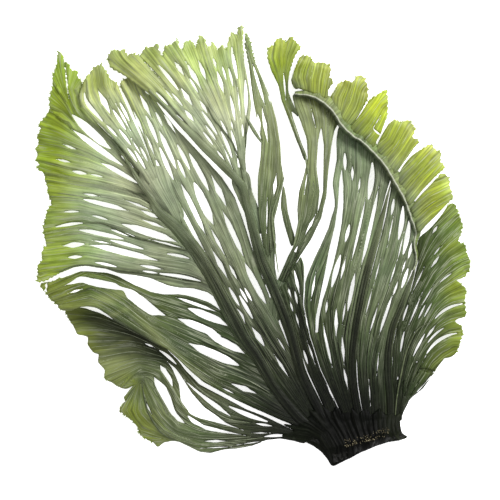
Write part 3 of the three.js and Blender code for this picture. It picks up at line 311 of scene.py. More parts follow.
TUFTS: tuple[Spot, ...] = (
    (-130, 178, 6, 6, 0, 0.9), (-102, 193, 5, 5, 0, 0.7), (-117, 190, 5, 4, 0, 0.4),
    (-83, 196, 4, 5, 0, 0.4), (-150, 158, 5, 16, -8, 0.9), (-151, 128, 5, 14, 6, 0.7),
    (-148, 104, 6, 10, 0, 0.5), (-38, 189, 6, 9, 0, 0.8), (-21, 175, 7, 9, 10, 1.0),
    (-6, 163, 6, 8, -30, 0.8), (12, 152, 8, 5, 60, 0.7), (19, 148, 7, 9, -30, 0.9),
    (31, 131, 8, 6, 30, 1.0), (38, 116, 8, 6, 20, 1.0), (47, 96, 7, 6, 0, 0.7),
    (48, 76, 7, 7, 0, 0.7), (50, 56, 8, 6, 0, 0.7), (44, 42, 10, 5, 40, 0.8),
    (-136, 50, 5, 6, 0, 0.5), (-142, 64, 5, 7, 20, 0.6), (-112, 28, 9, 3, -40, 0.6),
    (-113, 12, 6, 7, 0, 0.5),
)

# The lines along which each blade grew, from its foot to its tip
STRANDS: dict[str, tuple[Strand, ...]] = {
    "lower_left_frond": (
        ((-27, -1, 3), (-40, 1, 2.6), (-54, -2.5, 2), (-68, -4.6, 1.6), (-80, -5.4, 1.4), (-93, -0.5, 1.4),
         (-110, 3.5, 0.8), (-119, 15, 0.8), (-110, 30, 2.6)),
        ((-27, 0, 3), (-40, 2, 2.8), (-54, 0, 2.4), (-68, -1.5, 2.2), (-80, -2, 2.2), (-90, 1, 2.6),
         (-98, 5, 3.2), (-107, 14, 3.4), (-110, 28, 3)),
        ((-27, 1, 3), (-40, 3, 3), (-54, 2.5, 2.8), (-68, 2, 2.6), (-80, 2.5, 2.8), (-91, 6, 3.4),
         (-98, 13, 4), (-103, 22, 3.8), (-107, 29, 3.4)),
        ((-27, 2, 3), (-40, 4.5, 3), (-54, 5, 3), (-68, 5.5, 3), (-80, 9.5, 3.2), (-89, 16, 3.6),
         (-94, 25, 4), (-100, 34, 4), (-110, 37, 3.4), (-124, 30, 0.8)),
        ((-27, 3, 3), (-41, 6.5, 3), (-55, 8.5, 3), (-68, 11, 3.2), (-79, 19, 3.6), (-88, 31, 4),
         (-97, 40, 4.4), (-112, 42, 3.6), (-128, 38, 0.8)),
        ((-27, 4, 3), (-43, 8, 3), (-57, 12.5, 3.2), (-69, 18, 3.4), (-80, 25, 3.8), (-90, 36, 4.2),
         (-99, 44, 4.6), (-114, 50, 4), (-136, 50, 0.8)),
        ((-30, 5, 3), (-57, 13.5, 3.2), (-80, 26.5, 3.8), (-90, 39, 4.2), (-97, 46, 4.6), (-112, 54, 4.4),
         (-130, 62, 3), (-146, 64, 0.8)),
    ),
    "left_crest_blade": (
        ((-31, 8, 3.4), (-52, 17, 4), (-70, 26, 6), (-85, 36, 9), (-96, 46, 12), (-112, 54.5, 14),
         (-131, 66.6, 12), (-149, 66, 7)),
        ((-36, 15, 3.6), (-53, 26, 5), (-72, 33, 7), (-88, 43, 10), (-102, 53, 12.5), (-118, 65, 13),
         (-134, 72, 10), (-151, 68, 6)),
        ((-45, 30, 4), (-60, 38, 4.4), (-76, 45, 6), (-90, 51.5, 8), (-104, 58.5, 9), (-118, 69, 9.5),
         (-134, 77, 7), (-153, 71, 5)),
        ((-53, 43, 4), (-66, 51, 4), (-80, 57, 4.6), (-93, 62, 5.4), (-106, 66.5, 6), (-120, 77, 6),
         (-134, 81.5, 5), (-155, 73, 2)),
        ((-60, 55, 4), (-71, 63, 3.6), (-85, 68, 3.4), (-98, 72, 3.6), (-110, 76, 3.6), (-123, 82, 3.2),
         (-137, 84, 2.4), (-157, 75.5, 0.6)),
    ),
    "left_middle_blade": (
        ((-84, 99, 6), (-95, 112, 6), (-110, 120.5, 5), (-125, 124, 4), (-140, 126, 3), (-156, 129, 0.8)),
        ((-80, 93, 5.6), (-92, 104, 6), (-107, 109.5, 5.4), (-124, 115, 4.4), (-140, 119, 3.4),
         (-155, 120, 1.4)),
        ((-76, 86, 5.4), (-86, 95, 6), (-104, 99.5, 6), (-122, 105, 5), (-138, 109, 4), (-157, 106, 1.6)),
        ((-72, 79, 5.4), (-84, 88, 6), (-104, 91.5, 6.6), (-122, 96, 6), (-140, 99, 4.6), (-157, 97, 1.6)),
        ((-69, 73, 5.4), (-80, 79.5, 6.4), (-98, 83, 7.6), (-118, 86, 7.6), (-136, 89, 6), (-160, 86, 1.6)),
    ),
    "upper_left_blade": (
        ((-103, 120, 5), (-110, 124, 4.6), (-118, 127, 4), (-131, 130, 3.4), (-146, 132.5, 2.4),
         (-161, 137, 0.6)),
        ((-103, 122, 5), (-111, 128, 5), (-121, 134, 4.6), (-136, 140, 3.8), (-150, 143, 2.6),
         (-161, 144, 0.8)),
        ((-103.5, 123, 5), (-112, 131, 5.4), (-125, 140, 5.4), (-139, 148, 4.6), (-150, 153, 3.6),
         (-160, 156, 1.6)),
        ((-104, 124, 5), (-114, 135, 5.6), (-128, 146, 6), (-140, 156, 6), (-148, 165, 5), (-155, 170, 3)),
        ((-104.4, 125.6, 5), (-117, 140, 5.6), (-131, 151, 6.6), (-142, 161, 7.4), (-147, 174, 7),
         (-151, 193, 3)),
        ((-105, 127, 5), (-118, 143, 5.6), (-131, 155, 6.8), (-141, 165, 8), (-144, 175, 7.6),
         (-141, 184, 5)),
    ),
    "upper_left_light_blade": (
        ((-106, 129, 8.4), (-114, 142, 9.4), (-122, 151, 10), (-131, 160, 10.8), (-138, 168, 11),
         (-138, 178, 9)),
        ((-104, 130, 8), (-112, 144, 8.6), (-120, 155, 9.4), (-127, 164, 10), (-132, 174, 10),
         (-134, 184, 7)),
        ((-102, 131, 7.4), (-109, 145, 8), (-116, 157, 8.4), (-122, 168, 9), (-127, 177, 9), (-128, 187, 6)),
        ((-100, 131, 7), (-106, 145, 7.4), (-113, 158, 7.6), (-118, 168, 8), (-122, 175, 7.6),
         (-123, 181, 5.4)),
    ),
    "upper_middle_blade": (
        ((-24, 9, 3.4), (-47, 37, 3.8), (-60, 62, 4.4), (-75, 88, 5), (-90, 109, 5), (-99, 129, 4.4),
         (-109, 154, 3.4), (-119, 177, 1.6)),
        ((-22, 8.6, 3.4), (-41, 37, 4.4), (-56, 60, 5), (-69, 83, 5.6), (-82, 108, 5.4), (-94, 132, 4.6),
         (-105, 158, 3.2), (-116, 180, 0.6)),
        ((-20.4, 8, 3.4), (-37, 37, 4.6), (-50, 58, 5.4), (-62, 79, 6), (-75, 103, 5.6), (-88, 132, 4.8),
         (-99, 157, 3.6), (-109, 177, 1.4)),
        ((-19, 7.6, 3.4), (-33, 37, 4.4), (-45, 57, 5.4), (-56, 76, 6.2), (-66, 99, 5.8), (-79, 128, 4.6),
         (-92, 152, 3.6), (-104, 171, 1.6)),
    ),
    "top_blade": (
        ((-59.6, 122.4, 8), (-70, 137, 9), (-88, 156, 8), (-106, 175, 6), (-125, 191, 0.8)),
        ((-59.3, 123, 8), (-69, 141, 9.4), (-84, 161, 9), (-98, 178, 7.4), (-112, 193, 2)),
        ((-58.8, 123.4, 8), (-68, 146, 9.6), (-80, 165, 9.6), (-91, 182, 8), (-102, 197, 2.4)),
        ((-58.2, 123.4, 8), (-66, 150, 9.6), (-76, 169, 9.6), (-85, 185, 8), (-93, 199, 2.8)),
        ((-57.6, 123.4, 8), (-64, 153, 9.4), (-71, 172, 9.4), (-77, 187, 7.6), (-81, 201, 2.4)),
        ((-57, 123.4, 8), (-62, 155, 9.2), (-66, 174, 9), (-70, 188, 7.2), (-73, 198, 2.6)),
        ((-56.5, 123.4, 8), (-59, 156, 9), (-61, 175, 8.6), (-64, 190, 6.6), (-65, 199, 2)),
        ((-56, 122.8, 8), (-57, 152, 9), (-57, 172, 8.4), (-58, 190, 6), (-60, 206, 0.6)),
    ),
    "top_ribbon": (
        ((-46.6, 90, 6.6), (-51, 112, 8), (-51, 132, 9.4), (-49, 150, 9.6), (-52, 168, 9), (-54.6, 186, 6),
         (-57, 198, 3)),
        ((-46, 90, 6.6), (-48, 112, 8), (-46, 132, 9.8), (-45, 150, 10), (-48, 168, 9.4), (-53, 185, 6.4),
         (-56, 196, 3)),
        ((-44.4, 90, 6.6), (-44.5, 110, 8.4), (-41, 128, 10), (-41, 148, 10.4), (-44, 166, 9.4),
         (-50, 183, 6), (-54.6, 195, 2.4)),
    ),
    "short_prong": (
        ((-36, 96, 8), (-38, 108, 9), (-40, 118, 10), (-39.4, 126, 10)),
        ((-33.6, 98, 8), (-35.6, 109, 9), (-37.4, 118, 10), (-38, 126, 10)),
    ),
    "tall_lobe": (
        ((-27.4, 139, 13.6), (-31, 149, 13), (-35, 160, 12), (-39, 171, 10.6), (-42, 181, 9), (-46, 190, 5),
         (-45, 197, 1.4)),
        ((-27.2, 140, 13.6), (-30.6, 150, 13), (-34.6, 162, 12), (-38, 172, 10.4), (-39, 182, 8.4),
         (-40, 192, 4.4), (-39, 200, 0.6)),
        ((-31, 160, 13), (-33.6, 165, 12.4), (-36, 170, 11.4), (-37, 175, 10), (-36.5, 183, 8),
         (-34, 190, 4.6), (-30, 197, 1.4)),
    ),
    "fork_blade": (
        ((-40, 79.6, 7.6), (-35, 91, 9), (-31, 101, 10.6), (-30, 111, 12), (-29, 123, 13.6), (-27, 136, 15),
         (-26, 148, 14.8), (-29, 160, 13), (-33, 171, 11)),
        ((-39, 79, 7.6), (-34, 91, 9), (-29, 102, 10.6), (-24, 112, 12), (-21.6, 124, 13.6), (-23, 137, 15),
         (-22.4, 148, 15), (-23, 159, 13), (-26, 170, 10.6)),
        ((-38.6, 78.6, 7.6), (-33.6, 90, 9), (-28, 101, 10.6), (-22, 112, 12), (-20, 124, 13.6),
         (-19, 136, 15.4), (-18, 148, 15), (-18, 158, 13), (-19, 168, 10.6)),
        ((-38, 78, 7.6), (-32, 88.6, 9), (-25.6, 99, 10.6), (-20, 109, 12), (-17.5, 122, 13.6),
         (-16.5, 135, 15.4), (-15, 148, 15), (-12.5, 155, 13), (-11, 159, 11)),
    ),
    "centre_left_blade": (
        ((-13.4, 6, 3.4), (-18, 18, 3.8), (-24, 30, 4.2), (-29, 45, 5), (-33, 58, 5.8), (-37, 70, 6.8),
         (-39.6, 77, 7.4)),
        ((-11.4, 6, 3.4), (-15.5, 19, 3.8), (-22, 33, 4.6), (-27, 47, 5.6), (-31, 61, 6.8), (-34, 73, 8),
         (-36.6, 80, 8.6)),
        ((-9.4, 6, 3.4), (-13.5, 20, 4), (-20.6, 36, 5), (-26, 52, 6.4), (-29.6, 66, 7.8), (-31.6, 77, 9),
         (-33.4, 84.6, 9.4)),
        ((-7.6, 6, 3.4), (-12, 20, 4), (-19.5, 36, 5.4), (-25, 52, 7), (-28.2, 66, 8.6), (-28.6, 80, 10),
         (-29.6, 90, 10.4)),
    ),
    "centre_blade": (
        ((-6.4, 6, 3.4), (-12.4, 20, 4), (-19.5, 36, 5.4), (-25, 52, 7), (-27.6, 68, 9), (-26, 82, 11),
         (-20, 96, 13), (-16, 105, 14.4), (-12.5, 117, 15.4), (-14, 128, 15), (-11, 140, 13.6),
         (-10, 154, 11)),
        ((-4, 6, 3.4), (-9, 20, 4.2), (-15, 36, 5.6), (-19, 52, 7.2), (-20, 66, 9), (-17, 80, 11),
         (-13, 93, 13), (-10, 105, 14.6), (-8, 115, 15.4), (-7, 125, 15.2), (-8, 136, 13.8), (-8, 151, 11)),
        ((-2, 6.2, 3.4), (-6, 20, 4.2), (-10, 36, 5.6), (-13, 52, 7.2), (-13, 66, 9), (-10, 80, 11),
         (-7, 93, 13), (-4, 105, 14.6), (-2, 115, 15.4), (0, 125, 15.2), (1, 136, 13.6), (1, 146, 11)),
        ((-1, 6.4, 3.4), (-4, 20, 4.2), (-7, 36, 5.4), (-8, 52, 7), (-5.6, 66, 8.6), (-3, 80, 10.6),
         (0, 93, 12.6), (3, 105, 14.4), (5, 115, 15.4), (7, 125, 15), (8, 132, 13.4), (8, 139, 11.2)),
        ((0, 6.6, 3.4), (-2.6, 20, 4.2), (-5, 36, 5.2), (-4.6, 52, 6.4), (-2, 68, 8.4), (1.4, 83, 10.6),
         (5, 96, 12.4), (8, 108, 14), (10, 118, 15.4), (12, 126, 14.6), (12.6, 129, 13.2), (13, 132, 12)),
    ),
    "right_inner_blade": (
        ((3, 7.6, 3.4), (1.4, 22, 4), (-1, 40, 5), (1, 60, 7), (6, 80, 10), (10, 97, 12.4), (13, 113, 14),
         (16, 129, 11.6)),
        ((5.6, 8, 3.4), (4, 22, 4.2), (3, 40, 5.4), (6, 60, 7.6), (12, 78, 10.4), (17, 94, 13),
         (20, 108, 13.4), (21, 120, 11)),
        ((9, 8.4, 3.4), (8, 22, 4.2), (7.4, 38, 5.4), (12, 57, 7.4), (17, 72, 10), (22, 87, 12.6),
         (25, 98, 12.6), (26, 107, 10.6)),
        ((12.6, 9.2, 3.4), (12, 22, 4), (11.8, 38, 5), (13.6, 55, 7), (18, 67, 8.6), (22, 79, 10.8),
         (25, 88, 11.2), (27, 95, 10)),
    ),
    "right_outer_blade": (
        ((17.2, 10.4, 3.4), (17.2, 30, 3.8), (18.4, 55, 4.6), (24, 76, 5.4), (30, 92, 5.8), (36, 106, 5),
         (48, 117, 0.8)),
        ((17.8, 10.4, 3.4), (18, 30, 4.4), (20, 55, 5.8), (26, 74, 6.6), (33, 89, 6.8), (41, 99, 5.4),
         (50, 108, 1.4)),
        ((18.4, 10.4, 3.4), (19, 28, 4.6), (22, 50, 6.2), (29, 68, 7.4), (37, 82, 7.4), (45, 90, 5.4),
         (53, 94, 0.8)),
        ((19, 10.4, 3.4), (20, 27, 4.6), (24, 46, 6), (31, 62, 7.2), (38, 74, 7.4), (46, 80, 5.6),
         (53, 84, 1.6)),
        ((19.4, 10.4, 3.4), (20.6, 25, 4.4), (25, 42, 5.6), (32, 56, 6.8), (38, 66, 7), (45, 71, 5.4),
         (53, 73, 0.8)),
        ((19.8, 10.4, 3.4), (21.4, 22, 4), (25, 36, 5), (31, 49, 6), (37, 57, 6.4), (44, 62, 5.2),
         (52, 64, 1.6)),
        ((20.2, 10.4, 3.4), (22, 20, 3.8), (26, 32, 4.4), (31.6, 43, 5.2), (37, 50, 5.6), (44, 54, 4.6),
         (51, 55, 0.8)),
        ((20.6, 10.2, 3.4), (23, 18, 3.4), (28, 25, 3.4), (33, 31, 3.2), (37, 37, 2.8), (42, 41, 1.8),
         (47, 44, 0.6)),
    ),
    "crest_lobe_1": (
        ((-32, 175, 15.4), (-34, 180, 12.6), (-33, 186, 6), (-30, 191, 1)),
        ((-24, 173, 16), (-24, 179, 12.4), (-22, 188, 1.4)),
        ((-18, 170.6, 16), (-17, 176, 12.4), (-15, 186, 1)),
    ),
    "crest_lobe_2": (
        ((-14, 165, 17), (-14, 171, 13), (-10, 178, 2)),
        ((-9, 160, 17.4), (-5, 168, 12), (-1, 181, 0.8)),
        ((-6, 156, 17.4), (0, 163, 12), (3, 173, 2)),
    ),
    "crest_lobe_3": (
        ((-4, 153.4, 18), (2, 160, 15), (12, 173, 4)),
        ((3, 148, 18), (8, 154, 14.6), (13, 164, 4)),
    ),
    "crest_lobe_4": (
        ((8, 143.6, 17.6), (14, 149, 13), (20, 160, 1)),
        ((14, 136, 17.4), (20, 144, 12.6), (27, 154, 1)),
    ),
    "crest_lobe_5": (
        ((18, 129, 17), (25, 136, 12.6), (36, 147, 1)),
        ((23, 119, 16.6), (31, 129, 12), (42, 140, 1)),
    ),
    "crest_lobe_6": (
        ((24, 115, 16), (33, 122.6, 11.6), (45, 128, 1)),
        ((27.6, 106, 15), (35, 112.6, 11), (46, 119, 1.4)),
    ),
}

# The course of each rib: x, y, height and width at each point
RIB_ROUTES: dict[str, tuple[RibPoint, ...]] = {
    "left_rib": (
        (-23.8, 5.9, 3.2, 3.6), (-29, 10, 3.4, 4.2), (-37, 19, 3.6, 4.4), (-43, 27, 3.8, 4.6),
        (-51.5, 42, 4, 5), (-58, 51, 4.2, 6), (-62.5, 59.5, 4.4, 6.6), (-75, 83, 5, 6),
        (-83, 95.5, 5.4, 5.6), (-92.5, 107, 5.8, 5), (-101.5, 115, 6, 3),
    ),
    "centre_rib": (
        (-16.2, 5.8, 3.4, 3.2), (-21, 16.5, 3.6, 3.6), (-29.5, 34, 4.2, 4), (-33, 48, 4.8, 4.4),
        (-36.7, 60, 5.4, 5), (-43, 76, 6.2, 5), (-49.3, 90.5, 6.8, 4.4), (-53.3, 105, 7.4, 3.6),
        (-57, 119, 7.8, 2.6),
    ),
    "right_inner_rib": (
        (1, 7.7, 3.4, 2.4), (-1, 14, 3.6, 2.6), (-3.5, 28, 4.4, 2.8), (-4, 42, 5.2, 2.8),
        (-2.5, 56, 6.6, 3), (0, 70, 8.4, 3), (3, 84, 10.4, 2.8), (7, 99, 12.4, 2.4), (11, 114, 14, 1.8),
    ),
    "right_outer_rib": (
        (15, 9.6, 3.4, 2.4), (15, 20, 3.8, 2.6), (14, 32, 4.6, 2.8), (14, 45, 5.6, 2.8),
        (16, 57, 6.6, 2.6), (20, 67, 7.8, 2.4), (24, 78, 9.4, 1.8),
    ),
}


def srgb(red: int, green: int, blue: int) -> Colour:
    """Returns a screen colour, 0 to 255 a channel, as linear light."""
    parts = [value / 255 for value in (red, green, blue)]
    return tuple(part / 12.92 if part <= 0.04045 else ((part + 0.055) / 1.055) ** 2.4 for part in parts)


def pigment(colour: Screen) -> Colour:
    """Returns the colour of a skin that looks like this screen colour in the bright room."""
    return tuple(part * PIGMENT_SHARE for part in srgb(*colour))


def scatter(values: Array, seed: float = 0.0) -> Array:
    """Returns a fixed pseudo-random number from 0 to 1 for each value."""
    return np.modf(np.abs(np.sin(values * SCATTER_PITCH + seed * SCATTER_SHIFT) * SCATTER_GAIN))[0]


def draw(number: float, seed: float) -> float:
    """Returns the fixed pseudo-random number of a single value."""
    return float(scatter(np.array([number]), seed)[0])


def smooth_step(values: Array, low: float, high: float) -> Array:
    """Returns 0 below low, 1 above high and a smooth rise between them."""
    part = np.clip((values - low) / (high - low), 0, 1)
    return part * part * (3 - 2 * part)


def left_of(steps: Array) -> Array:
    """Returns the unit vector to the left of each step in plan."""
    side = np.column_stack((-steps[:, 1], steps[:, 0]))
    return side / np.maximum(np.linalg.norm(side, axis=1, keepdims=True), 1e-6)


def outward_of(loop: Array) -> Array:
    """Returns the unit vector that leads out of the skin at each point of a loop."""
    return -left_of(np.roll(loop, -1, 0) - np.roll(loop, 1, 0))


def distances_along(route: Array) -> Array:
    """Returns how far along a route each of its corners lies."""
    return np.concatenate(([0], np.cumsum(np.linalg.norm(np.diff(route, axis=0), axis=1))))


def as_tuples(points: Array) -> tuple[tuple[float, ...], ...]:
    """Returns the rows of an array as plain tuples."""
    return tuple(map(tuple, points.tolist()))


def route_distance(points: Array, route: Array) -> Array:
    """Measures how far each point is from a route in plan.

    Args:
        points: x and y of each point.
        route: x and y of each corner of the route.

    Returns:
        The shortest distance for each point.
    """
    start, step = route[:-1, :2], np.diff(route[:, :2], axis=0)
    offset = points[:, None, :] - start[None]
    along = np.clip((offset * step).sum(2) / (step * step).sum(1), 0, 1)
    return np.linalg.norm(offset - along[..., None] * step, axis=2).min(1)


def spot_strength(points: Array, spots: tuple[Spot, ...]) -> Array:
    """Adds up soft oval spots at each point.

    Args:
        points: x and y of each point.
        spots: centre x and y, radii along and across, turn in degrees and strength of each spot.

    Returns:
        The summed strength, at most 1.
    """
    total = np.zeros(len(points))
    for x, y, along, across, turn, strength in spots:
        angle = math.radians(turn)
        offset = points - (x, y)
        u = (offset[:, 0] * math.cos(angle) + offset[:, 1] * math.sin(angle)) / along
        v = (offset[:, 1] * math.cos(angle) - offset[:, 0] * math.sin(angle)) / across
        total += strength * np.exp(-(u * u + v * v))
    return np.minimum(total, 1)


def rim_share(points: Array) -> Array:
    """Tells how far out each point lies on the fan.

    Args:
        points: x and y of each point, and any more columns.

    Returns:
        0 at the holdfast and 1 at the rim of the fan, for each point.
    """
    degrees = np.degrees(np.arctan2(points[:, 1], points[:, 0])) % 360
    reach = np.interp(degrees, *np.array(RIM, float).T)
    return np.hypot(points[:, 0], points[:, 1]) / reach


def closed_curve(corners: Array, step: float) -> Array:
    """Rounds a closed polygon with a centripetal curve through its corners.

    Args:
        corners: x and y of each corner.
        step: Distance between the points of the result.

    Returns:
        x and y of the points of the rounded polygon.
    """
    before, after, beyond = np.roll(corners, 1, 0), np.roll(corners, -1, 0), np.roll(corners, -2, 0)
    rows = []
    for p0, p1, p2, p3 in zip(before, corners, after, beyond):
        k1, k2, k3 = (max(math.sqrt(math.dist(a, b)), 1e-4) for a, b in ((p0, p1), (p1, p2), (p2, p3)))
        leave = (p1 - p0) / k1 - (p2 - p0) / (k1 + k2) + (p2 - p1) / k2
        arrive = (p2 - p1) / k2 - (p3 - p1) / (k2 + k3) + (p3 - p2) / k3
        count = max(1, round(math.dist(p1, p2) / step))
        t = np.linspace(0, 1, count, endpoint=False)[:, None]
        t2, t3 = t * t, t * t * t
        rows.append((2 * t3 - 3 * t2 + 1) * p1 + (t3 - 2 * t2 + t) * leave * k2
                    + (3 * t2 - 2 * t3) * p2 + (t3 - t2) * arrive * k2)
    return np.vstack(rows)


def open_curve(corners: Array, count: int) -> Array:
    """Smooths an open route and divides it evenly.

    Args:
        corners: The corners of the route, in as many dimensions as it has.
        count: How many points the result has.

    Returns:
        Points at even steps along the smoothed route.
    """
    fine, last = [corners[0]], len(corners) - 1
    for i in range(last):
        p0, p1, p2, p3 = corners[max(i - 1, 0)], corners[i], corners[i + 1], corners[min(i + 2, last)]
        for t in np.linspace(1 / CURVE_PARTS, 1, CURVE_PARTS):
            fine.append(0.5 * (2 * p1 + (p2 - p0) * t + (2 * p0 - 5 * p1 + 4 * p2 - p3) * t * t
                               + (3 * p1 - p0 - 3 * p2 + p3) * t ** 3))
    fine = np.array(fine)
    length = distances_along(fine)
    marks = np.linspace(0, length[-1], count)
    return np.column_stack([np.interp(marks, length, fine[:, axis]) for axis in range(fine.shape[1])])


def is_inside(points: Array, loops: list[Array]) -> Array:
    """Tests points against loops by counting the edges to their right.

    Args:
        points: x and y of each point.
        loops: x and y along each closed loop, outline and openings together.

    Returns:
        True for each point in the sheet.
    """
    start = np.vstack(loops)
    end = np.vstack([np.roll(loop, -1, 0) for loop in loops])
    odd = np.zeros(len(points), bool)
    for first in range(0, len(points), POINTS_AT_ONCE):
        batch = slice(first, first + POINTS_AT_ONCE)
        x, y = points[batch, 0, None], points[batch, 1, None]
        spans = (start[:, 1] > y) != (end[:, 1] > y)
        rise = np.where(end[:, 1] == start[:, 1], 1, end[:, 1] - start[:, 1])
        crossing = start[:, 0] + (y - start[:, 1]) * (end[:, 0] - start[:, 0]) / rise
        odd[batch] = (spans & (x < crossing)).sum(1) % 2 == 1
    return odd


def plan_tree(points: Array) -> kdtree.KDTree:
    """Makes a search tree of points in plan.

    Args:
        points: x and y of each point.

    Returns:
        The balanced tree.
    """
    tree = kdtree.KDTree(len(points))
    for number, (x, y) in enumerate(points):
        tree.insert((x, y, 0), number)
    tree.balance()
    return tree


def tree_distance(tree: kdtree.KDTree, points: Array) -> Array:
    """Returns how far each point in plan is from the nearest point of a tree."""
    return np.array([tree.find((x, y, 0))[2] for x, y in points])


def merged_solid(node: str) -> bmesh.types.BMesh:
    """Copies a solid of the frame and joins its loose triangles.

    Args:
        node: Name of the solid.

    Returns:
        The copy, which the caller frees.
    """
    shape = bmesh.new()
    shape.from_mesh(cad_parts[node].data)
    bmesh.ops.remove_doubles(shape, verts=shape.verts, dist=MERGE_GAP)
    return shape


def in_scene(name: str, mesh: bpy.types.Mesh) -> Piece:
    """Puts a mesh into the scene.

    Args:
        name: Name of the new object.
        mesh: Its mesh.

    Returns:
        The new object.
    """
    piece = bpy.data.objects.new(name, mesh)
    bpy.context.scene.collection.objects.link(piece)
    return piece


def finished_mesh(source: Piece) -> bpy.types.Mesh:
    """Bakes the modifiers of an object into a plain mesh.

    Args:
        source: The object with its modifiers.

    Returns:
        A new mesh.
    """
    bpy.context.view_layer.update()
    ready = source.evaluated_get(bpy.context.evaluated_depsgraph_get())
    return bpy.data.meshes.new_from_object(ready)


@dataclass
class Probe:
    """What the strands say at each of many points.

    Args:
        height: Height of the growth lines.
        along: Distance from the root.
        across: Place across the strands, with STRAND_WIDTH between two of them.
        share: Share of the way to the tip.
        crowding: Gap between the strands beside the point, as a share of STRAND_WIDTH, at most 1.
    """

    height: Array
    along: Array
    across: Array
    share: Array
    crowding: Array


@dataclass
class FlowField:
    """The growth lines of one blade, from its root to its tips.

    Args:
        strands: The lines in order across the blade, each from root to tip.
    """

    strands: tuple[Strand, ...]

    def __post_init__(self) -> None:
        """Splits the strands into straight steps."""
        lines = [np.array(strand, float) for strand in self.strands]
        self.start = np.vstack([line[:-1] for line in lines])
        self.end = np.vstack([line[1:] for line in lines])
        self.from_root = np.concatenate([distances_along(line[:, :2])[:-1] for line in lines])
        self.owner = np.concatenate([np.full(len(line) - 1, number) for number, line in enumerate(lines)])
        self.reach = np.array([np.hypot(*np.diff(line[:, :2], axis=0).T).sum() for line in lines])

    def probe(self, points: Array) -> Probe:
        """Reads the height and the flow at each point.

        Args:
            points: x and y of each point.

        Returns:
            What the strands say at each point.
        """
        step = self.end[:, :2] - self.start[:, :2]
        size = np.linalg.norm(step, axis=1)
        offset = points[:, None, :] - self.start[None, :, :2]
        part = np.clip((offset * step).sum(2) / (size * size), 0, 1)
        distance = np.linalg.norm(offset - part[..., None] * step, axis=2)
        weight = (distance + STRAND_SOFTNESS) ** -STRAND_FALLOFF
        weight /= weight.sum(1, keepdims=True)
        height = (weight * (self.start[:, 2] + part * (self.end[:, 2] - self.start[:, 2]))).sum(1)
        along = (weight * (self.from_root + part * size)).sum(1)
        across, gap = self.place_across(distance, part)
        share = np.clip(along / np.interp(across, np.arange(len(self.strands)), self.reach), 0, 1)
        return Probe(height, along, across * STRAND_WIDTH, share, np.minimum(gap / STRAND_WIDTH, 1))

    def place_across(self, distance: Array, part: Array) -> tuple[Array, Array]:
        """Finds each point's place between the strands.

        Args:
            distance: Distance of each point from each straight step.
            part: Share of the way along the step to the place nearest the point.

        Returns:
            The strand's number with a fraction towards its neighbour, and the gap between the two.
        """
        count, rows = len(self.strands), np.arange(len(distance))
        nearest = np.stack([distance[:, self.owner == n].min(1) for n in range(count)], axis=1)
        best = nearest.argmin(1)
        low = nearest[rows, np.maximum(best - 1, 0)]
        high = nearest[rows, np.minimum(best + 1, count - 1)]
        side = np.where((best == 0) | ((best < count - 1) & (high < low)), 1, -1)
        own, other = nearest[rows, best], np.where(side > 0, high, low)
        spot = np.where(self.owner[None] == best[:, None], distance, np.inf).argmin(1)
        foot = self.start[spot, :2] + part[rows, spot, None] * (self.end[spot, :2] - self.start[spot, :2])
        gap = np.full(len(distance), STRAND_WIDTH)
        for n in range(count):
            for turn in (1, -1):
                chosen = (best == n) & (side == turn)
                if chosen.any() and 0 <= n + turn < count:
                    gap[chosen] = route_distance(foot[chosen], np.array(self.strands[n + turn], float))
        gap = np.maximum(gap, LEAST_GAP)
        return best + side * np.clip((own ** 2 - other ** 2 + gap ** 2) / (2 * gap ** 2), -1.5, 1), gap

    def lines(self, between: int, count: int) -> list[Array]:
        """Draws flow lines between neighbouring strands.

        Args:
            between: How many lines to lay between two strands.
            count: How many points each line has.

        Returns:
            x, y and z of the points of each line.
        """
        routes = [open_curve(np.array(strand, float), count) for strand in self.strands]
        found = []
        for left, right in zip(routes, routes[1:]):
            for n in range(between):
                part = (n + 0.5 + 0.5 * math.sin(7.1 * n + len(found))) / between
                found.append(left * (1 - part) + right * part)
        return found


@dataclass(frozen=True)
class SlitPlan:
    """How thin slits are spread over a blade, in millimetres.

    Args:
        tries: How many places are tried.
        length: Usual length of a slit.
        width: Usual width of a slit.
        low: Where the slits begin, as a share of the way to the rim.
        high: Where they end.
        clearance: Skin left between a slit and its neighbours.
        seed: Seed of the places.
    """

    tries: int = 0
    length: float = 9.0
    width: float = 1.1
    low: float = 0.2
    high: float = 0.9
    clearance: float = 0.75
    seed: float = 21.0


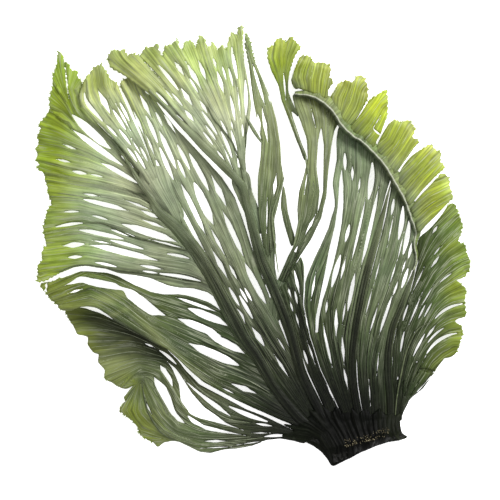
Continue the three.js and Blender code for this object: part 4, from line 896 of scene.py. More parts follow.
@dataclass
class Margin:
    """The outline and the openings of one blade, taken from its solid.

    Args:
        node: Name of the solid.
        tooth: Depth of the teeth at the tips, in millimetres.
        outline: A drawn outline, counter-clockwise, that is used in place of the solid's.
        loops: x and y along the outline and each opening, filled in by the class.
    """

    node: str
    tooth: float
    outline: Route = ()
    loops: list[Array] = field(default_factory=list)

    def __post_init__(self) -> None:
        """Walks the rim of the solid's upper face, or the drawn outline, and rounds it."""
        for corners in [np.array(self.outline, float)] if self.outline else self.rim_loops():
            kept = [corners[0]]
            for corner in corners[1:]:
                if math.dist(corner, kept[-1]) > CORNER_GAP:
                    kept.append(corner)
            if len(kept) > 3:
                self.loops.append(self.ragged(closed_curve(np.array(kept), MESH_STEP)))

    def rim_loops(self) -> list[Array]:
        """Follows the edges of the solid's upper face.

        Returns:
            x and y, in millimetres, along the outline and along each opening.
        """
        shape = merged_solid(self.node)
        shape.normal_update()
        following: dict[int, list[int]] = {}
        for edge in shape.edges:
            upper = [loop for loop in edge.link_loops if loop.face.normal.z > UPPER_TILT]
            if len(upper) == 1:
                following.setdefault(upper[0].vert.index, []).append(upper[0].link_loop_next.vert.index)
        shape.verts.ensure_lookup_table()
        found = []
        while following:
            first = next(iter(following))
            ring, here = [], first
            while here in following:
                ring.append(here)
                onward = following[here].pop()
                if not following[here]:
                    del following[here]
                here = onward
                if here == first:
                    break
            found.append(np.array([shape.verts[index].co.xy for index in ring]) / MM)
        shape.free()
        return found

    def ragged(self, loop: Array) -> Array:
        """Moves the points of a loop a little, more and in teeth towards the tips.

        Args:
            loop: x and y along the loop.

        Returns:
            x and y along the moved loop.
        """
        outward = outward_of(loop)
        run = np.arange(len(loop)) * MESH_STEP
        tip = smooth_step(rim_share(loop), *TOOTH_BAND)
        # The teeth lean and vary in size, and the whole edge is a little frayed
        saw = np.abs(np.modf(run / TOOTH_PITCH + 0.6 * np.sin(run / 9))[0] - 0.35)
        size = 0.45 + 1.1 * scatter(np.floor(run / TOOTH_PITCH), 9)
        fray = 0.09 * (scatter(run, 1) - 0.5)
        move = MARGIN_GROWTH + fray + self.tooth * tip * size * (0.5 - saw * 1.4)
        return loop + outward * move[:, None]

    def open_slits(self, flow: FlowField, plan: SlitPlan) -> None:
        """Opens thin lens-shaped slits along the flow lines, clear of one another and of the margin.

        Args:
            flow: The growth lines of the blade.
            plan: How many slits, and how large.
        """
        lines = flow.lines(2, 160)
        swell = np.sin(np.linspace(0.08, math.pi - 0.08, LENS_POINTS)) ** 0.8
        for number in range(plan.tries):
            pick, place, size = (draw(number + 1.0, plan.seed + n) for n in range(3))
            line = lines[int(pick * len(lines))][:, :2]
            run = distances_along(line)
            length = plan.length * (0.5 + size)
            start = place * (run[-1] - length)
            if start < 0:
                continue
            marks = np.linspace(start, start + length, LENS_POINTS)
            spine = np.column_stack([np.interp(marks, run, line[:, axis]) for axis in (0, 1)])
            if not plan.low < rim_share(spine).mean() < plan.high:
                continue
            half = plan.width * (0.35 + 0.4 * size) * swell
            side = left_of(np.gradient(spine, axis=0)) * half[:, None]
            lens = np.vstack((spine + side, (spine - side)[::-1]))
            gap = min(route_distance(lens, np.vstack((loop, loop[:1]))).min() for loop in self.loops)
            if gap > plan.clearance and is_inside(lens, self.loops).all():
                self.loops.append(closed_curve(lens, MESH_STEP))


@dataclass
class MeshDraft:
    """A mesh in the making, in millimetres.

    Args:
        name: Name of the piece.
        points: x, y and z of each vertex.
        faces: Vertex numbers of each face.
        values: Named values, one for each vertex.
        pattern: Place of each vertex in the fibre pattern, across and along.
    """

    name: str
    points: Array
    faces: list[tuple[int, ...]]
    values: dict[str, Array] = field(default_factory=dict)
    pattern: Array | None = None

    def to_object(self) -> Piece:
        """Makes the mesh, smooth shaded, with its values as attributes and its pattern as a UV map.

        Returns:
            The new object.
        """
        mesh = bpy.data.meshes.new(self.name)
        mesh.from_pydata((self.points * MM).tolist(), [], self.faces)
        for name, numbers in self.values.items():
            mesh.attributes.new(name, "FLOAT", "POINT").data.foreach_set("value", numbers.astype(np.float32))
        if self.pattern is not None:
            corners = np.empty(len(mesh.loops), np.int32)
            mesh.loops.foreach_get("vertex_index", corners)
            place = self.pattern[corners] / PATTERN_UNIT
            mesh.uv_layers.new(name=UV_NAME).data.foreach_set("uv", place.astype(np.float32).ravel())
        mesh.polygons.foreach_set("use_smooth", [True] * len(mesh.polygons))
        mesh.update()
        return in_scene(self.name, mesh)


# Patterns of streaks along the fibres: width and length of a streak, detail, shift
BROAD_STREAKS = (2.6, 60, 3, 0.3)
FINE_STREAKS = (0.62, 30, 6, 1.7)
HAIR_STREAKS = (0.42, 16, 2, 4.1)

# The range in which most of the noise lies
NOISE_BAND = (0.3, 0.7)

# Where the five colours of a blade stand between its root and its tip
AGE_STOPS = (0.1, 0.3, 0.55, 0.8, 0.955)

# Tints of the warmer and the cooler clouds on a blade
WARM_TINT = srgb(226, 236, 196)
COOL_TINT = srgb(216, 246, 240)

# How dark a blade gets at a full vein band, which is partly painted shade, and in full painted shade, and how
# much light comes through it
VEIN_LEVEL = 0.42
SHADE_LEVEL = 0.13
TRANSLUCENCY = 0.16


class AgeRule(Enum):
    """How the colour of a blade moves from root to tip."""

    RIM = "by the distance to the rim of the fan"
    STRAND = "by the distance along its own strands"


class NodeAdder:
    """A node tree in the making."""

    tree: bpy.types.NodeTree

    def add(self, kind: str, values: dict | None = None, **settings: object) -> bpy.types.Node:
        """Adds a node.

        Args:
            kind: Blender's type name of the node.
            values: Input name or number, with a value to set or a socket to link.
            **settings: Properties of the node.

        Returns:
            The new node.
        """
        node = self.tree.nodes.new(kind)
        for name, setting in settings.items():
            setattr(node, name, setting)
        for name, value in (values or {}).items():
            if isinstance(value, Socket):
                self.tree.links.new(value, node.inputs[name])
            else:
                node.inputs[name].default_value = value
        return node


class NodeSketch(NodeAdder):
    """A material in the making.

    Args:
        name: Name of the material.
    """

    def __init__(self, name: str) -> None:
        """Starts an empty node tree with an output."""
        self.material = bpy.data.materials.new(name)
        self.material.use_nodes = True
        self.tree = self.material.node_tree
        self.tree.nodes.clear()
        self.output = self.tree.nodes.new("ShaderNodeOutputMaterial")

    def attribute(self, name: str) -> Socket:
        """Returns the value of a named attribute of the mesh."""
        return self.add("ShaderNodeAttribute", attribute_name=name).outputs["Fac"]

    def fit(self, value: Socket, source: tuple[float, float],
            target: tuple[float, float]) -> Socket:
        """Moves a value from one range to another and clamps it.

        Args:
            value: The value.
            source: The range it comes from.
            target: The range it goes to.

        Returns:
            The moved value.
        """
        return self.add("ShaderNodeMapRange", {"Value": value, "From Min": source[0], "From Max": source[1],
                                               "To Min": target[0], "To Max": target[1]}).outputs["Result"]

    def maths(self, operation: str, first: object, second: object) -> Socket:
        """Returns the result of a sum or a product of two values."""
        return self.add("ShaderNodeMath", {0: first, 1: second}, operation=operation).outputs[0]

    def ramp(self, value: Socket, stops: list[tuple[float, Colour]]) -> Socket:
        """Picks a colour from a row of stops.

        Args:
            value: Place in the row, from 0 to 1.
            stops: Place and colour of each stop.

        Returns:
            The picked colour.
        """
        node = self.add("ShaderNodeValToRGB", {0: value})
        elements = node.color_ramp.elements
        while len(elements) < len(stops):
            elements.new(0.5)
        for element, (place, colour) in zip(elements, stops):
            element.position = place
            element.color = (*colour, 1)
        return node.outputs["Color"]

    def blend(self, kind: str, share: object, first: object, second: object) -> Socket:
        """Returns two colours blended.

        Args:
            kind: Blender's name of the blend, such as MIX or MULTIPLY.
            share: Share of the second colour.
            first: The first colour.
            second: The second colour.

        Returns:
            The blended colour.
        """
        node = self.add("ShaderNodeMix", data_type="RGBA", blend_type=kind)
        for place, value in ((0, share), (6, first), (7, second)):
            if isinstance(value, Socket):
                self.tree.links.new(value, node.inputs[place])
            else:
                node.inputs[place].default_value = (*value, 1) if isinstance(value, tuple) else value
        return node.outputs[2]

    def times(self, colour: object, factor: object) -> Socket:
        """Returns a colour multiplied by another colour or by a value."""
        return self.blend("MULTIPLY", 1.0, colour, factor)

    def streaks(self, across: float, along: float, detail: float, seed: float) -> Socket:
        """Returns noise drawn out along the fibres.

        Args:
            across: Width of a streak in millimetres.
            along: Length of a streak in millimetres.
            detail: Detail of the noise.
            seed: Shift of the pattern.

        Returns:
            The noise, mostly from 0.3 to 0.7.
        """
        uv = self.add("ShaderNodeUVMap", uv_map=UV_NAME).outputs[0]
        scale = (PATTERN_UNIT / across, PATTERN_UNIT / along, 1)
        place = self.add("ShaderNodeMapping", {"Vector": uv, "Location": (seed, seed, seed),
                                               "Scale": scale}).outputs[0]
        return self.add("ShaderNodeTexNoise", {"Vector": place, "Scale": 1.0, "Detail": detail,
                                               "Roughness": 0.62, "Distortion": 0.15}).outputs["Fac"]

    def blotches(self, size: float, detail: float) -> Socket:
        """Returns noise on the object's own place, with spots about size millimetres wide."""
        place = self.add("ShaderNodeTexCoord").outputs["Object"]
        return self.add("ShaderNodeTexNoise", {"Vector": place, "Scale": 1 / (size * MM),
                                               "Detail": detail}).outputs["Fac"]

    def bump(self, height: Socket, strength: float, depth: float) -> Socket:
        """Returns the normal of a surface with a fine relief, depth in millimetres."""
        return self.add("ShaderNodeBump", {"Height": height, "Strength": strength,
                                           "Distance": depth * MM}).outputs["Normal"]

    def skin(self, colour: Socket, normal: Socket, roughness: float,
             gloss: float) -> Socket:
        """Returns the shader of a wet skin."""
        shader = self.add("ShaderNodeBsdfPrincipled", {"Base Color": colour, "Roughness": roughness,
                                                       "Normal": normal, "Specular IOR Level": gloss})
        return shader.outputs[0]

    def finish(self, shader: Socket) -> bpy.types.Material:
        """Links the shader to the output and returns the material."""
        self.tree.links.new(shader, self.output.inputs["Surface"])
        return self.material


class Finish:
    """A look that is mixed into a material once."""

    name: str

    def mixed(self, sketch: NodeSketch) -> bpy.types.Material:
        """Mixes the material, in the way of each kind of finish."""
        raise NotImplementedError

    def material(self) -> bpy.types.Material:
        """Returns the material, mixed the first time that it is asked for."""
        return bpy.data.materials.get(self.name) or self.mixed(NodeSketch(self.name))


@dataclass(frozen=True)
class BladeFinish(Finish):
    """Screen colours of a blade from root to tip, and how strongly its fibres show.

    Args:
        name: Name of the finish.
        root: Colour next to the holdfast.
        low: Colour a quarter of the way out.
        middle: Colour half way out.
        high: Colour before the tips.
        tip: Colour of the toothed tips.
        highlight: Colour of the painted highlights along the fibres.
        bulge_highlight: Colour of the painted highlights on the swellings.
        tuft: Colour of the deep lime patches near the tips.
        contrast: How far the streaks lighten and darken.
        pale: How much of the painted highlights along the fibres shows.
        relief: How deep the streaks look.
        roughness: Roughness of the skin.
        gloss: Strength of its reflections.
    """

    name: str
    root: Screen
    low: Screen
    middle: Screen
    high: Screen
    tip: Screen
    highlight: Screen = (208, 214, 184)
    bulge_highlight: Screen = (178, 188, 122)
    tuft: Screen = (146, 160, 38)
    contrast: float = 0.5
    pale: float = 0.5
    relief: float = 0.55
    roughness: float = 0.46
    gloss: float = 0.12

    def mixed(self, sketch: NodeSketch) -> bpy.types.Material:
        """Lays clouds, streaks, lime patches, painted highlights, veins that are partly painted shade, and
        painted shade over the colours.

        Args:
            sketch: The material in the making.

        Returns:
            The material.
        """
        broad, fine, hair = (sketch.streaks(*kind) for kind in (BROAD_STREAKS, FINE_STREAKS, HAIR_STREAKS))
        age = sketch.maths("ADD", sketch.attribute("age"), sketch.fit(broad, NOISE_BAND, (-0.045, 0.045)))
        ages = zip(AGE_STOPS, (self.root, self.low, self.middle, self.high, self.tip))
        colour = sketch.ramp(age, [(place, pigment(screen)) for place, screen in ages])
        warm = sketch.fit(sketch.blotches(22, 3), (0.35, 0.7), (0.0, 0.35))
        colour = sketch.blend("MIX", warm, colour, sketch.times(colour, WARM_TINT))
        cool = sketch.fit(sketch.blotches(31, 2), (0.42, 0.68), (0.0, 0.55))
        colour = sketch.blend("MIX", cool, colour, sketch.times(colour, COOL_TINT))
        tone = sketch.fit(fine, NOISE_BAND, (1 - self.contrast, 1 + self.contrast))
        wide = sketch.fit(broad, NOISE_BAND, (1 - 0.5 * self.contrast, 1 + 0.5 * self.contrast))
        mottle = sketch.fit(sketch.blotches(8, 4), (0.34, 0.66), (0.84, 1.14))
        for factor in (tone, wide, mottle):
            colour = sketch.times(colour, factor)
        colour = self.patched(sketch, colour, (broad, fine, hair), tone, age)
        # The vein bands, partly painted shade, and the painted shade darken the colour
        for name, level in (("vein", VEIN_LEVEL), ("shade", SHADE_LEVEL)):
            colour = sketch.times(colour, sketch.fit(sketch.attribute(name), (0.0, 1.0), (1.0, level)))
        relief = sketch.maths("ADD", fine, sketch.maths("MULTIPLY", hair, 0.5))
        normal = sketch.bump(relief, self.relief, 0.5)
        skin = sketch.skin(colour, normal, self.roughness, self.gloss)
        glow = sketch.add("ShaderNodeBsdfTranslucent", {"Color": colour, "Normal": normal})
        both = sketch.add("ShaderNodeMixShader", {0: TRANSLUCENCY, 1: skin, 2: glow.outputs[0]})
        return sketch.finish(both.outputs[0])

    def patched(self, sketch: NodeSketch, colour: Socket, streaks: tuple[Socket, Socket, Socket],
                tone: Socket, age: Socket) -> Socket:
        """Lays the painted highlights along the fibres, the lime tufts and the painted highlights on the
        swellings over the colour.

        Args:
            sketch: The material in the making.
            colour: The colour so far.
            streaks: The broad, the fine and the hairlike streaks.
            tone: How the fine streaks lighten and darken it.
            age: Place between root and tip.

        Returns:
            The new colour.
        """
        broad, fine, hair = streaks
        # Painted highlights along the hairlike streaks
        glint = sketch.maths("MULTIPLY", sketch.fit(hair, (0.54, 0.64), (0.0, self.pale)),
                             sketch.fit(age, (0.12, 0.45), (0.25, 1.0)))
        colour = sketch.blend("MIX", glint, colour, pigment(self.highlight))
        thick = sketch.fit(broad, (0.3, 0.65), (0.35, 0.95))
        tuft = sketch.maths("MULTIPLY", sketch.attribute("lime"), thick)
        colour = sketch.blend("MIX", tuft, colour, sketch.times(pigment(self.tuft), tone))
        # Painted highlights on the swellings, where the light attribute is set
        light = sketch.maths("MULTIPLY", sketch.attribute("light"), sketch.fit(fine, (0.3, 0.6), (0.3, 0.8)))
        return sketch.blend("MIX", light, colour, pigment(self.bulge_highlight))


@dataclass(frozen=True)
class FibreFinish(Finish):
    """The screen colours of a wet, stringy skin.

    Args:
        name: Name of the finish.
        dark: Colour of the grooves.
        light: Colour of the ridges.
        grain: Size of the grain in millimetres.
        roughness: Roughness of the skin.
        gloss: Strength of its reflections.
    """

    name: str
    dark: Screen
    light: Screen
    grain: float = 1.2
    roughness: float = 0.42
    gloss: float = 0.1

    def mixed(self, sketch: NodeSketch) -> bpy.types.Material:
        """Mixes the two colours with a grain.

        Args:
            sketch: The material in the making.

        Returns:
            The material.
        """
        grain, broad = sketch.blotches(self.grain, 5), sketch.blotches(self.grain * 9, 2)
        mixed = sketch.maths("ADD", sketch.maths("MULTIPLY", grain, 0.65),
                             sketch.maths("MULTIPLY", broad, 0.35))
        colour = sketch.ramp(mixed, [(0.36, pigment(self.dark)), (0.66, pigment(self.light))])
        return sketch.finish(sketch.skin(colour, sketch.bump(grain, 0.4, 0.3), self.roughness, self.gloss))


class GrowthTree(NodeAdder):
    """Geometry Nodes in the making, which end in real geometry with a skin.

    Args:
        name: Name of the tree.
        inputs: Kind and first value of each named input.
    """

    def __init__(self, name: str, inputs: dict[str, tuple[str, object]]) -> None:
        """Starts the tree with its inputs and its output."""
        self.tree = bpy.data.node_groups.new(name, "GeometryNodeTree")
        for label, (kind, value) in inputs.items():
            socket = self.tree.interface.new_socket(label, in_out="INPUT", socket_type=f"NodeSocket{kind}")
            if value is not None:
                socket.default_value = value
        self.tree.interface.new_socket("Grown", in_out="OUTPUT", socket_type="NodeSocketGeometry")
        self.given = self.add("NodeGroupInput")

    def end(self, geometry: Socket) -> None:
        """Makes the geometry real, gives it its skin and links it to the output."""
        real = self.add("GeometryNodeRealizeInstances", {"Geometry": geometry})
        skin = self.add("GeometryNodeSetMaterial", {"Geometry": real.outputs["Geometry"],
                                                    "Material": self.given.outputs["Skin"]})
        self.add("NodeGroupOutput", {"Grown": skin.outputs["Geometry"]})


class FibreTree(GrowthTree):
    """Geometry Nodes that turn drawn lines into round fibres."""

    def __init__(self) -> None:
        """Builds the tree once for all fibres."""
        super().__init__("Round fibres", {"Lines": ("Geometry", None), "Thickness": ("Float", 1.0),
                                          "Sides": ("Int", 5), "Skin": ("Material", None)})
        given = self.given.outputs
        curve = self.add("GeometryNodeMeshToCurve", {"Mesh": given["Lines"]})
        ring = self.add("GeometryNodeCurvePrimitiveCircle", {"Resolution": given["Sides"], "Radius": MM})
        width = self.add("GeometryNodeInputNamedAttribute", {"Name": "half_width"})
        scale = self.add("ShaderNodeMath", {0: width.outputs["Attribute"], 1: given["Thickness"]},
                         operation="MULTIPLY")
        tube = self.add("GeometryNodeCurveToMesh", {
            "Curve": curve.outputs["Curve"], "Profile Curve": ring.outputs["Curve"],
            "Scale": scale.outputs[0], "Fill Caps": True})
        smooth = self.add("GeometryNodeSetShadeSmooth", {"Geometry": tube.outputs["Mesh"]})
        self.end(smooth.outputs["Geometry"])


class ToothTree(GrowthTree):
    """Geometry Nodes that set a small pointed body on every marked point."""

    def __init__(self) -> None:
        """Builds the tree once for teeth and specks."""
        super().__init__("Pointed teeth", {
            "Marks": ("Geometry", None), "Width": ("Float", 0.3), "Length": ("Float", 1.0),
            "Seed": ("Int", 1), "Skin": ("Material", None)})
        given = self.given.outputs
        tooth = self.add("GeometryNodeMeshCone", {"Vertices": 5, "Radius Bottom": MM, "Depth": MM})
        heading = self.add("GeometryNodeInputNamedAttribute", {"Name": "heading"}, data_type="FLOAT_VECTOR")
        turn = self.add("FunctionNodeAlignRotationToVector", {"Vector": heading.outputs["Attribute"]},
                        axis="Z")
        size = self.add("ShaderNodeCombineXYZ", {"X": given["Width"], "Y": given["Width"],
                                                 "Z": given["Length"]})
        chance = self.add("FunctionNodeRandomValue", {"Seed": given["Seed"]}, data_type="FLOAT")
        least, most = [socket for socket in chance.inputs if socket.type == "VALUE"][:2]
        least.default_value, most.default_value = 0.55, 1.25
        share = next(socket for socket in chance.outputs if socket.type == "VALUE")
        grow = self.add("ShaderNodeVectorMath", {0: size.outputs[0], "Scale": share}, operation="SCALE")
        place = self.add("GeometryNodeInstanceOnPoints", {
            "Points": given["Marks"], "Instance": tooth.outputs["Mesh"],
            "Rotation": turn.outputs["Rotation"], "Scale": grow.outputs[0]})
        self.end(place.outputs["Instances"])


def grown(source: Piece, tree: bpy.types.NodeTree,
          settings: dict[str, object]) -> Piece:
    """Runs a tree on an object and turns the result into a plain mesh.

    Args:
        source: The object that holds the lines or marks. It is removed.
        tree: The tree to run.
        settings: The value of each named input.

    Returns:
        A new object with the finished mesh.
    """
    modifier = source.modifiers.new("Growth", "NODES")
    modifier.node_group = tree
    for item in tree.interface.items_tree:
        if item.item_type == "SOCKET" and item.in_out == "INPUT" and item.name in settings:
            modifier[item.identifier] = settings[item.name]
    mesh, name = finished_mesh(source), source.name
    source.modifiers.remove(modifier)
    bpy.data.objects.remove(source)
    mesh.name = name
    return in_scene(name, mesh)


class Part:
    """One piece of the frond, with its finish and its place in the frame."""

    finish: Finish
    slot: str

    def build(self) -> Piece:
        """Makes the piece, in the way of each kind of part."""
        raise NotImplementedError

    def replaced(self) -> str:
        """Returns the name of the solid that the piece takes the place of, or no name."""
        return ""

    def dress(self, piece: Piece) -> None:
        """Gives the piece its finish and its place in the frame.

        Args:
            piece: The finished piece.
        """
        piece.data.materials.clear()
        piece.data.materials.append(self.finish.material())
        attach(piece, BODY)
        if self.replaced():
            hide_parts(self.replaced())


@dataclass
class BladeSheet(Part):
    """One thin, split blade with rounded margins and fine lengthwise ridges.

    Args:
        node: Name of the solid it replaces.
        finish: Its colours.
        slot: Name of a material slot; not used.
        rule: How its colour moves from root to tip.
        crown: How far the middle of each strap stands above its margins.
        ridge: Height of the fibres in the skin.
        thickness: Thickness of the sheet.
        ruffle: Height of the waves at the tips.
        tooth: Depth of the teeth in the outline.
        slits: How thin slits are spread over it.
        whole: Whether its small openings are closed.
        flow: Its growth lines, filled in by build.
        margin: Its outline and openings, filled in by build.
        rim: The points of its margin, filled in by build.
    """

    node: str
    finish: BladeFinish
    slot: str = "blade"
    rule: AgeRule = AgeRule.RIM
    crown: float = 0.28
    ridge: float = 0.15
    thickness: float = BLADE_THICKNESS
    ruffle: float = 1.5
    tooth: float = 0.8
    slits: SlitPlan = SlitPlan()
    whole: bool = False
    flow: FlowField = field(init=False, repr=False)
    margin: Margin = field(init=False, repr=False)
    rim: kdtree.KDTree = field(init=False, repr=False)

    def build(self) -> Piece:
        """Makes the sheet from its margin and its growth lines.

        Returns:
            The finished object.
        """
        self.flow = FlowField(self.growth_lines())
        self.margin = self.own_margin()
        if self.whole:
            self.margin.loops = [max(self.margin.loops, key=len)]
        self.margin.open_slits(self.flow, self.slits)
        plan, triangles = self.triangulated()
        single = self.rim_edges(triangles)
        self.rim = plan_tree(plan[sorted({index for edge in single for index in edge})])
        top, half, seen = self.surface(plan)
        points = np.vstack((np.column_stack((plan, top)), np.column_stack((plan, top - 2 * half))))
        count, upper = len(plan), triangles.tolist()
        faces = [tuple(row) for row in upper]
        faces += [(a + count, c + count, b + count) for a, b, c in upper]
        faces += [(b, a, a + count, b + count) for a, b in single]
        values = {name: np.tile(numbers, 2) for name, numbers in self.marks(plan, seen).items()}
        pattern = np.tile(np.column_stack((seen.across, seen.along)), (2, 1))
        return MeshDraft(self.piece_name(), points, faces, values, pattern).to_object()

    def growth_lines(self) -> tuple[Strand, ...]:
        """Returns the strands of the blade."""
        return STRANDS[self.node]

    def own_margin(self) -> Margin:
        """Returns the margin of the blade's solid."""
        return Margin(self.node, self.tooth)

    def piece_name(self) -> str:
        """Returns the name of the finished piece."""
        return f"{self.node}_sheet"

    def triangulated(self) -> tuple[Array, Array]:
        """Fills the margin with an even, slightly uneven grid of triangles.

        Returns:
            x and y of each point, and the corners of each triangle, counter-clockwise.
        """
        loops = self.margin.loops
        rim = np.vstack(loops)
        low, high = rim.min(0), rim.max(0)
        rows = np.arange(low[1], high[1], MESH_STEP * TRIANGLE_HEIGHT)
        columns = [np.arange(low[0] + (i % 2) * MESH_STEP / 2, high[0], MESH_STEP) for i in range(len(rows))]
        inner = np.vstack([np.column_stack((xs, np.full(len(xs), y))) for xs, y in zip(columns, rows)])
        inner += MESH_JITTER * np.column_stack((scatter(inner[:, 0] + 3 * inner[:, 1], 2) - 0.5,
                                                scatter(inner[:, 1] - 2 * inner[:, 0], 3) - 0.5))
        inner = inner[is_inside(inner, loops)]
        inner = inner[tree_distance(plan_tree(rim), inner) > MARGIN_CLEARANCE]
        edges, start = [], 0
        for loop in loops:
            edges += [(start + i, start + (i + 1) % len(loop)) for i in range(len(loop))]
            start += len(loop)
        points = [Vector(row) for row in np.vstack((rim, inner)).tolist()]
        found = geometry.delaunay_2d_cdt(points, edges, [], 0, 1e-5, False)
        plan = np.array([point[:] for point in found[0]])
        triangles = np.array([face for face in found[2] if len(face) == 3])
        a, b, c = (plan[triangles[:, n]] for n in range(3))
        area = (b[:, 0] - a[:, 0]) * (c[:, 1] - a[:, 1]) - (b[:, 1] - a[:, 1]) * (c[:, 0] - a[:, 0])
        triangles[area < 0] = triangles[area < 0][:, ::-1]
        triangles = triangles[is_inside((a + b + c) / 3, loops) & (np.abs(area) > 1e-6)]
        used = np.unique(triangles)
        fresh = np.full(len(plan), -1)
        fresh[used] = np.arange(len(used))
        return plan[used], fresh[triangles]

    @staticmethod
    def rim_edges(triangles: Array) -> list[tuple[int, int]]:
        """Finds the edges along the margin.

        Args:
            triangles: Corners of each triangle.

        Returns:
            The directed edges that only one triangle has.
        """
        every = [(int(t[i]), int(t[(i + 1) % 3])) for t in triangles for i in range(3)]
        known = set(every)
        return [(a, b) for a, b in every if (b, a) not in known]

    def surface(self, plan: Array) -> tuple[Array, Array, Probe]:
        """Works out the upper side of the sheet.

        Args:
            plan: x and y of each point.

        Returns:
            Height of the upper side, half thickness and what the strands say, for each point.
        """
        seen = self.flow.probe(plan)
        depth = tree_distance(self.rim, plan)
        inward = np.clip(depth / (EDGE_ROUNDING * self.thickness), 0, 1)
        half = self.thickness / 2 * np.maximum(EDGE_THICKNESS, np.sqrt(1 - (1 - inward) ** 2))
        crown = self.crown * (smooth_step(depth, 0, CROWN_REACH) - CROWN_DIP) * seen.crowding ** 0.5
        height = seen.height + crown
        height += self.billow(plan, seen)
        height += self.frill(plan, seen)
        height += self.ridges(seen)
        return np.maximum(height, self.thickness / 2 + FLOOR_GAP) + half, half, seen

    def billow(self, plan: Array, seen: Probe) -> Array:
        """Returns the height that broad waves add to each point, less where the sheet lies low."""
        x, y = plan.T
        wave = np.sin(x / 9 + 1.3 * np.sin(y / 15)) * np.sin(y / 11 + x / 23)
        return 0.5 * wave * np.clip(seen.height / 5, 0.2, 1)

    def frill(self, plan: Array, seen: Probe) -> Array:
        """Returns the height that the ruffles at the tips add to each point."""
        tip = smooth_step(self.outward(plan, seen), *RUFFLE_BAND)
        return self.ruffle * tip * (np.sin(seen.across / 1.55 + np.sin(seen.along / 5)) * 0.5 + 0.5)

    def ridges(self, seen: Probe) -> Array:
        """Returns the height that two sets of fine ridges along the fibres add to each point."""
        u, v = seen.across, seen.along
        coarse = np.sin(2 * math.pi * u / 2.3 + 1.2 * np.sin(v / 14))
        fine = np.sin(2 * math.pi * u / 1.37 + 2 + 1.5 * np.sin(v / 9))
        return self.ridge * seen.crowding * (coarse + 0.6 * fine)

    def outward(self, plan: Array, seen: Probe) -> Array:
        """Returns how far each point is on its way to the tips, from 0 to 1."""
        return np.clip(rim_share(plan), 0, 1) if self.rule is AgeRule.RIM else seen.share

    def marks(self, plan: Array, seen: Probe) -> dict[str, Array]:
        """Works out what colours the sheet at each point.

        Args:
            plan: x and y of each point.
            seen: What the strands say at each point.

        Returns:
            The named values age, vein, shade, light and lime.
        """
        fade_start, fade_end, faded = VEIN_FADE
        # Dark vein bands, partly painted shade along overlapping blade edges, fading towards the rim
        vein = np.zeros(len(plan))
        for width, _, route in VEIN_AND_SHADE_BANDS:
            vein = np.maximum(vein, np.exp(-(route_distance(plan, np.array(route, float)) / width) ** 2))
        vein *= 1 - faded * smooth_step(rim_share(plan), fade_start, fade_end)
        # Painted shade in the hollows
        shade = spot_strength(plan, PAINTED_SHADE_SPOTS)
        crest_strength, crest_width, crest_side = CREST_SHADE
        if self.rule is AgeRule.RIM and plan[:, 0].max() > crest_side:
            under = np.exp(-route_distance(plan, np.array(CREST, float)) / crest_width)
            shade = np.maximum(shade, crest_strength * under)
        for x, y, stretch, full, end, strength, steepness in FOOT_SHADES:
            reach = np.hypot((plan[:, 0] - x) / stretch, plan[:, 1] - y)
            shade = np.maximum(shade, strength * smooth_step(-reach, -end, -full) ** steepness)
        # The light values are painted highlights on the bulges
        return {"age": self.outward(plan, seen), "vein": vein, "shade": shade,
                "light": spot_strength(plan, PAINTED_HIGHLIGHT_SPOTS), "lime": spot_strength(plan, TUFTS)}

    def replaced(self) -> str:
        """Returns the name of the blade's solid."""
        return self.node

    def fibre_lines(self, between: int, count: int) -> list[Array]:
        """Lays flow lines on the upper side, broken where the blade is open.

        Args:
            between: How many lines lie between two strands.
            count: How many points each line has.

        Returns:
            x, y and z of the points of each unbroken run.
        """
        runs = []
        for line in self.flow.lines(between, count):
            plan = line[:, :2]
            held = is_inside(plan, self.margin.loops) & (tree_distance(self.rim, plan) > FIBRE_CLEARANCE)
            top = self.surface(plan)[0]
            run: list[tuple[float, float, float]] = []
            for (x, y), z, keep in zip(plan, top, held):
                if keep:
                    run.append((x, y, z))
                if not keep or (x, y) == tuple(plan[-1]):
                    if len(run) > 3:
                        runs.append(np.array(run))
                    run = []
        return runs

    def tip_marks(self) -> tuple[Array, Array]:
        """Finds where small teeth stand along the outermost margin.

        Returns:
            Place and heading of each tooth.
        """
        places, headings = [], []
        for loop in self.margin.loops:
            outward = outward_of(loop)
            top, half, seen = self.surface(loop)
            chosen = (self.outward(loop, seen) > TIP_START) & (scatter(np.arange(len(loop)), 5) > 0.45)
            chosen &= (outward * loop).sum(1) > 0
            places.append(np.column_stack((loop - outward * TOOTH_SINK, top - half))[chosen])
            headings.append(np.column_stack((outward, scatter(loop[:, 0], 7) * 0.5))[chosen])
        return np.vstack(places), np.vstack(headings)


@dataclass
class Web(BladeSheet):
    """Skin that joins the blades where they grow together.

    Args:
        outline: Its outline, counter-clockwise.
        lines: Its growth lines.
    """

    outline: Route = ()
    lines: tuple[Strand, ...] = ()

    def growth_lines(self) -> tuple[Strand, ...]:
        """Returns the drawn lines."""
        return self.lines

    def own_margin(self) -> Margin:
        """Returns the drawn margin."""
        return Margin("", self.tooth, self.outline)

    def piece_name(self) -> str:
        """Returns the name of the finished piece."""
        return self.node

    def replaced(self) -> str:
        """Returns no name, as there is no solid between the blades."""
        return ""


